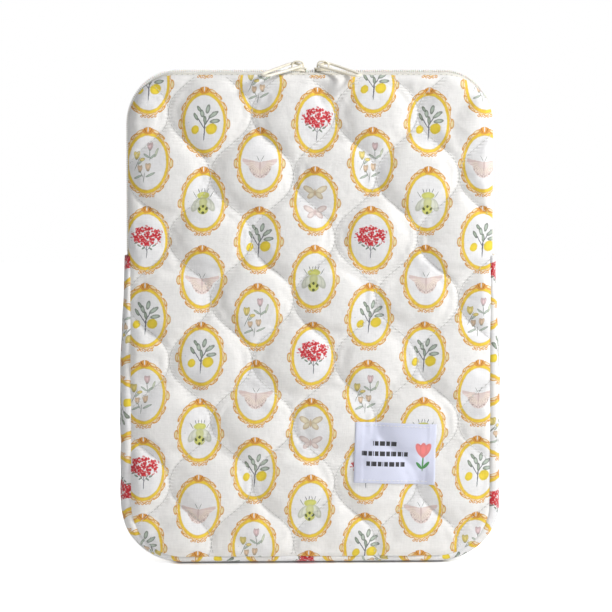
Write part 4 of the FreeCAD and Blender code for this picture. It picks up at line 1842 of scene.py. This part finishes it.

# %% [markdown]
# ## Satin ribbon
# Satin is woven more finely than the cotton and is a little glossier. The marks are part of its colour,
# as woven marks are, and the same weave as in the cotton gives it threads and a painted shade between them.

# %% The label's cloth
def label_cloth():
    """Satin ribbon, white with woven marks."""
    material, graph, shader = new_material("woven label", roughness=0.55, sheen=0.2)
    place = graph.pattern()
    threads = graph.use(weave, {"Place": place, "Pitch": 0.36})
    raise_bumps(graph, shader, threads, 0.05 * MM)
    painter = Painter(graph, place, woven_dashes(graph, place, LABEL_WHITE))
    woven_tulip(painter)
    # Painted shade: the ribbon is a little darker where its threads lie low.
    grain = graph.between(threads, 0.0, 1.3, 0.93, 1.0)
    graph.tree.links.new(graph.shaded(painter.colour, grain), shader["Base Color"])
    return material


label_material = label_cloth()
label_thread = thread_material("label thread", (250, 250, 252))
print("label cloth:", label_material.name, "sewn with", label_thread.name)

# %% [markdown]
# ## Laying the label on the quilting
# The label is sewn on after quilting, so it lies over the puffs and dips a little between them. At each
# of its points the cloth's depth is taken there and as a mean of the cloth around, which is how a
# ribbon bridges a dip. Its side edges are folded under, so it stands a little higher beside them.

# %% Where the label lies
LABEL_LOW, LABEL_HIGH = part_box("woven_label")
LABEL_MIDDLE = (LABEL_LOW + LABEL_HIGH) / 2
LABEL_HALF_WIDE = (LABEL_HIGH.x - LABEL_LOW.x) / 2
LABEL_HALF_HIGH = (LABEL_HIGH.z - LABEL_LOW.z) / 2
LABEL_TURN = Matrix.Rotation(math.radians(-2), 2)
AROUND = [2 * MM * step for step in range(-3, 4)]
find_front = cloth_finder(front_panel.data)


def on_cloth(x, z, lift):
    """The place of a label point on the front panel."""
    spot = LABEL_TURN @ Vector((x, z))
    side, high = LABEL_MIDDLE.x + spot.x, LABEL_MIDDLE.z + spot.y
    depths = [find_front(side + away, high + up, -OUTSIDE, 1).y for away in AROUND for up in AROUND]
    smooth = sum(depths) / len(depths)
    near = find_front(side, high, -OUTSIDE, 1).y
    return Vector((side, min(0.6 * smooth + 0.4 * near, near) - lift, high))


print(f"the label is {2000 * LABEL_HALF_WIDE:.0f} x {2000 * LABEL_HALF_HIGH:.0f} mm")

# %% [markdown]
# ## The ribbon
# A flat grid gets its pattern coordinates first and is then laid on the cloth point by point, so that
# the dashes follow the ribbon over the puffs.

# %% The label
LABEL_THICK = 0.3 * MM


def make_label():
    """The ribbon laid on the quilting, with its side edges folded under."""
    bm = bmesh.new()
    bmesh.ops.create_grid(bm, x_segments=64, y_segments=48, size=1)
    bmesh.ops.scale(bm, verts=bm.verts, vec=(LABEL_HALF_WIDE, LABEL_HALF_HIGH, 0))
    set_pattern(bm, lambda co: (co.x, co.y))
    for vert in bm.verts:
        x, z = vert.co.x, vert.co.y
        to_edge = LABEL_HALF_WIDE - abs(x)
        fold = smooth_step(to_edge, 0, 0.8 * MM)
        hem = LABEL_THICK * smooth_step(to_edge, 6.5 * MM, 5.5 * MM)
        vert.co = on_cloth(x, z, (0.15 + 0.35 * fold) * MM + hem)
    for vert in extruded_points(bm):
        vert.co.y += LABEL_THICK
    bmesh.ops.recalc_face_normals(bm, faces=bm.faces)
    return finish("label_ribbon", bm, label_material, "shell", ["woven_label"])


make_label()

# %% [markdown]
# ## The label's stitches
# Two rows of white stitches hold the ribbon, one along its top and one along its bottom.

# %% The label's stitches
LABEL_STITCH = 2 * MM
LABEL_STEP = 2.9 * MM
LABEL_THREAD = 0.26 * MM


def make_label_stitches():
    """A row of stitches along the top and one along the bottom."""
    bm = bmesh.new()
    for row in (-1, 1):
        z = row * (LABEL_HALF_HIGH - 2.2 * MM)
        x = -LABEL_HALF_WIDE + 1.5 * MM
        while x < LABEL_HALF_WIDE - 3 * MM:
            start, end = on_cloth(x, z, 0.5 * MM), on_cloth(x + LABEL_STITCH, z, 0.5 * MM)
            add_stitch(bm, start, end, Vector((0, -1, 0)), LABEL_THREAD)
            x += LABEL_STEP
    return finish("label_thread", bm, label_thread, "shell")


make_label_stitches()

# %% [markdown]
# ## Lamps
# A small strong lamp high on the right rakes across the cloth, and its low angle is what shows the
# quilting. A large weak one in front keeps the shadows from going dark.

# %% Lamps
def area_lamp(name, place, aim, size, power, colour=(1, 1, 1)):
    """A square soft lamp that points at a spot."""
    light = bpy.data.lights.new(name, "AREA")
    light.size = size
    light.energy = power
    light.color = colour
    lamp = in_scene(name, light)
    lamp.location = place
    lamp.rotation_euler = (Vector(aim) - Vector(place)).to_track_quat("-Z", "Y").to_euler()
    return lamp


LAMP_AIM = (0, 0, 0.16)
area_lamp("key lamp", (1.0, -0.47, 1.08), LAMP_AIM, 0.24, 16.4, (1.0, 0.99, 0.98))
area_lamp("fill lamp", (0.7, -1.8, 0.5), LAMP_AIM, 1.2, 5.8, (0.98, 0.985, 1.0))
print("lamps:", [light.name for light in bpy.data.lights])

# %% [markdown]
# ## White surroundings
# A studio background should look pure white, but as a lamp it would wash out every shadow. The Light
# Path node tells the two apart: rays that the camera sends see white, and rays that gather light see
# a soft grey.

# %% Background
WORLD_LIGHT = 0.29


def seen_directly(graph):
    """1 for rays from the camera, mirrors and glass, and 0 for light that falls on things."""
    path = graph.add("LightPath")
    direct = graph.math("ADD", path, path.node.outputs["Is Glossy Ray"])
    return graph.math("MINIMUM", graph.math("ADD", direct, path.node.outputs["Is Transmission Ray"]), 1.0)


def make_world():
    """A background that is white to the eye and a soft grey as light."""
    world = bpy.data.worlds.new("studio")
    world.use_nodes = True
    scene.world = world
    graph = Graph(world.node_tree)
    background = world.node_tree.nodes["Background"]
    background.inputs["Color"].default_value = (1, 1, 1, 1)
    strength = graph.between(seen_directly(graph), 0.0, 1.0, WORLD_LIGHT, 1.0)
    world.node_tree.links.new(strength, background.inputs["Strength"])


make_world()
print("background:", scene.world.name)

# %% [markdown]
# ## Floor
# The floor glows a little, which drowns most shadows on it. Close to the sleeve's foot the glow is
# turned down in the shape of the footprint, so that a thin dark line is left where the sleeve stands: a
# contact shadow, partly real and partly painted by the missing glow.

# %% Floor
FLOOR_GLOW = 0.72
FOOT_GLOW = 0.05
FOOTPRINT = (90, 13, 0)


def make_floor():
    """A white floor whose glow drowns most shadows, dimmed at the sleeve's foot into a painted contact
    shadow.
    """
    bm = bmesh.new()
    bmesh.ops.create_grid(bm, x_segments=2, y_segments=2, size=4)
    floor = in_scene("floor", to_mesh("floor", bm))
    floor.location = (0, 0, -0.3 * MM)
    material, graph, shader = new_material("floor paint", roughness=0.9)
    grain = graph.noise(graph.position(), 0.4, 2.0)
    graph.tree.links.new(graph.mix(grain, tone(252, 252, 252), tone(255, 255, 255)), shader["Base Color"])
    # Painted shadow: the glow is dimmed in the shape of the sleeve's footprint, leaving a dark line round
    # its foot.
    outside = graph.both("SUBTRACT", graph.both("ABSOLUTE", graph.position()), FOOTPRINT)
    away = graph.both("LENGTH", graph.both("MAXIMUM", outside, (0, 0, 0)))
    glow = graph.between(away, 2.0, 14.0, FOOT_GLOW, FLOOR_GLOW)
    glow = graph.math("MULTIPLY", seen_directly(graph), glow)
    shader["Emission Color"].default_value = (1, 1, 1, 1)
    graph.tree.links.new(glow, shader["Emission Strength"])
    floor.data.materials.append(material)
    return floor


floor = make_floor()
print("floor at", round(floor.location.z, 4), "m")

# %% [markdown]
# ## Camera
# A long lens far away keeps the sleeve's edges parallel. It looks from almost straight in front, a
# little from the left and a little from above.

# %% Camera
CAMERA_AWAY = 1.9
CAMERA_AIM = Vector((-0.0035, -0.012, 0.1843))
CAMERA_TURN = math.radians(-2)
CAMERA_RISE = math.radians(4)
PICTURE_WIDE = 0.435
SENSOR_WIDE = 36


def make_camera():
    """A long lens almost straight in front."""
    camera = bpy.data.cameras.new("camera")
    camera.lens = SENSOR_WIDE * CAMERA_AWAY / PICTURE_WIDE
    camera.clip_end = 50
    obj = in_scene("camera", camera)
    level = math.cos(CAMERA_RISE) * CAMERA_AWAY
    high = math.sin(CAMERA_RISE) * CAMERA_AWAY
    away = Vector((math.sin(CAMERA_TURN) * level, -math.cos(CAMERA_TURN) * level, high))
    obj.location = CAMERA_AIM + away
    obj.rotation_euler = (-away).to_track_quat("-Z", "Y").to_euler()
    scene.camera = obj


make_camera()
scene.view_settings.view_transform = "Standard"
print(f"lens: {scene.camera.data.lens:.0f} mm")

# %% [markdown]
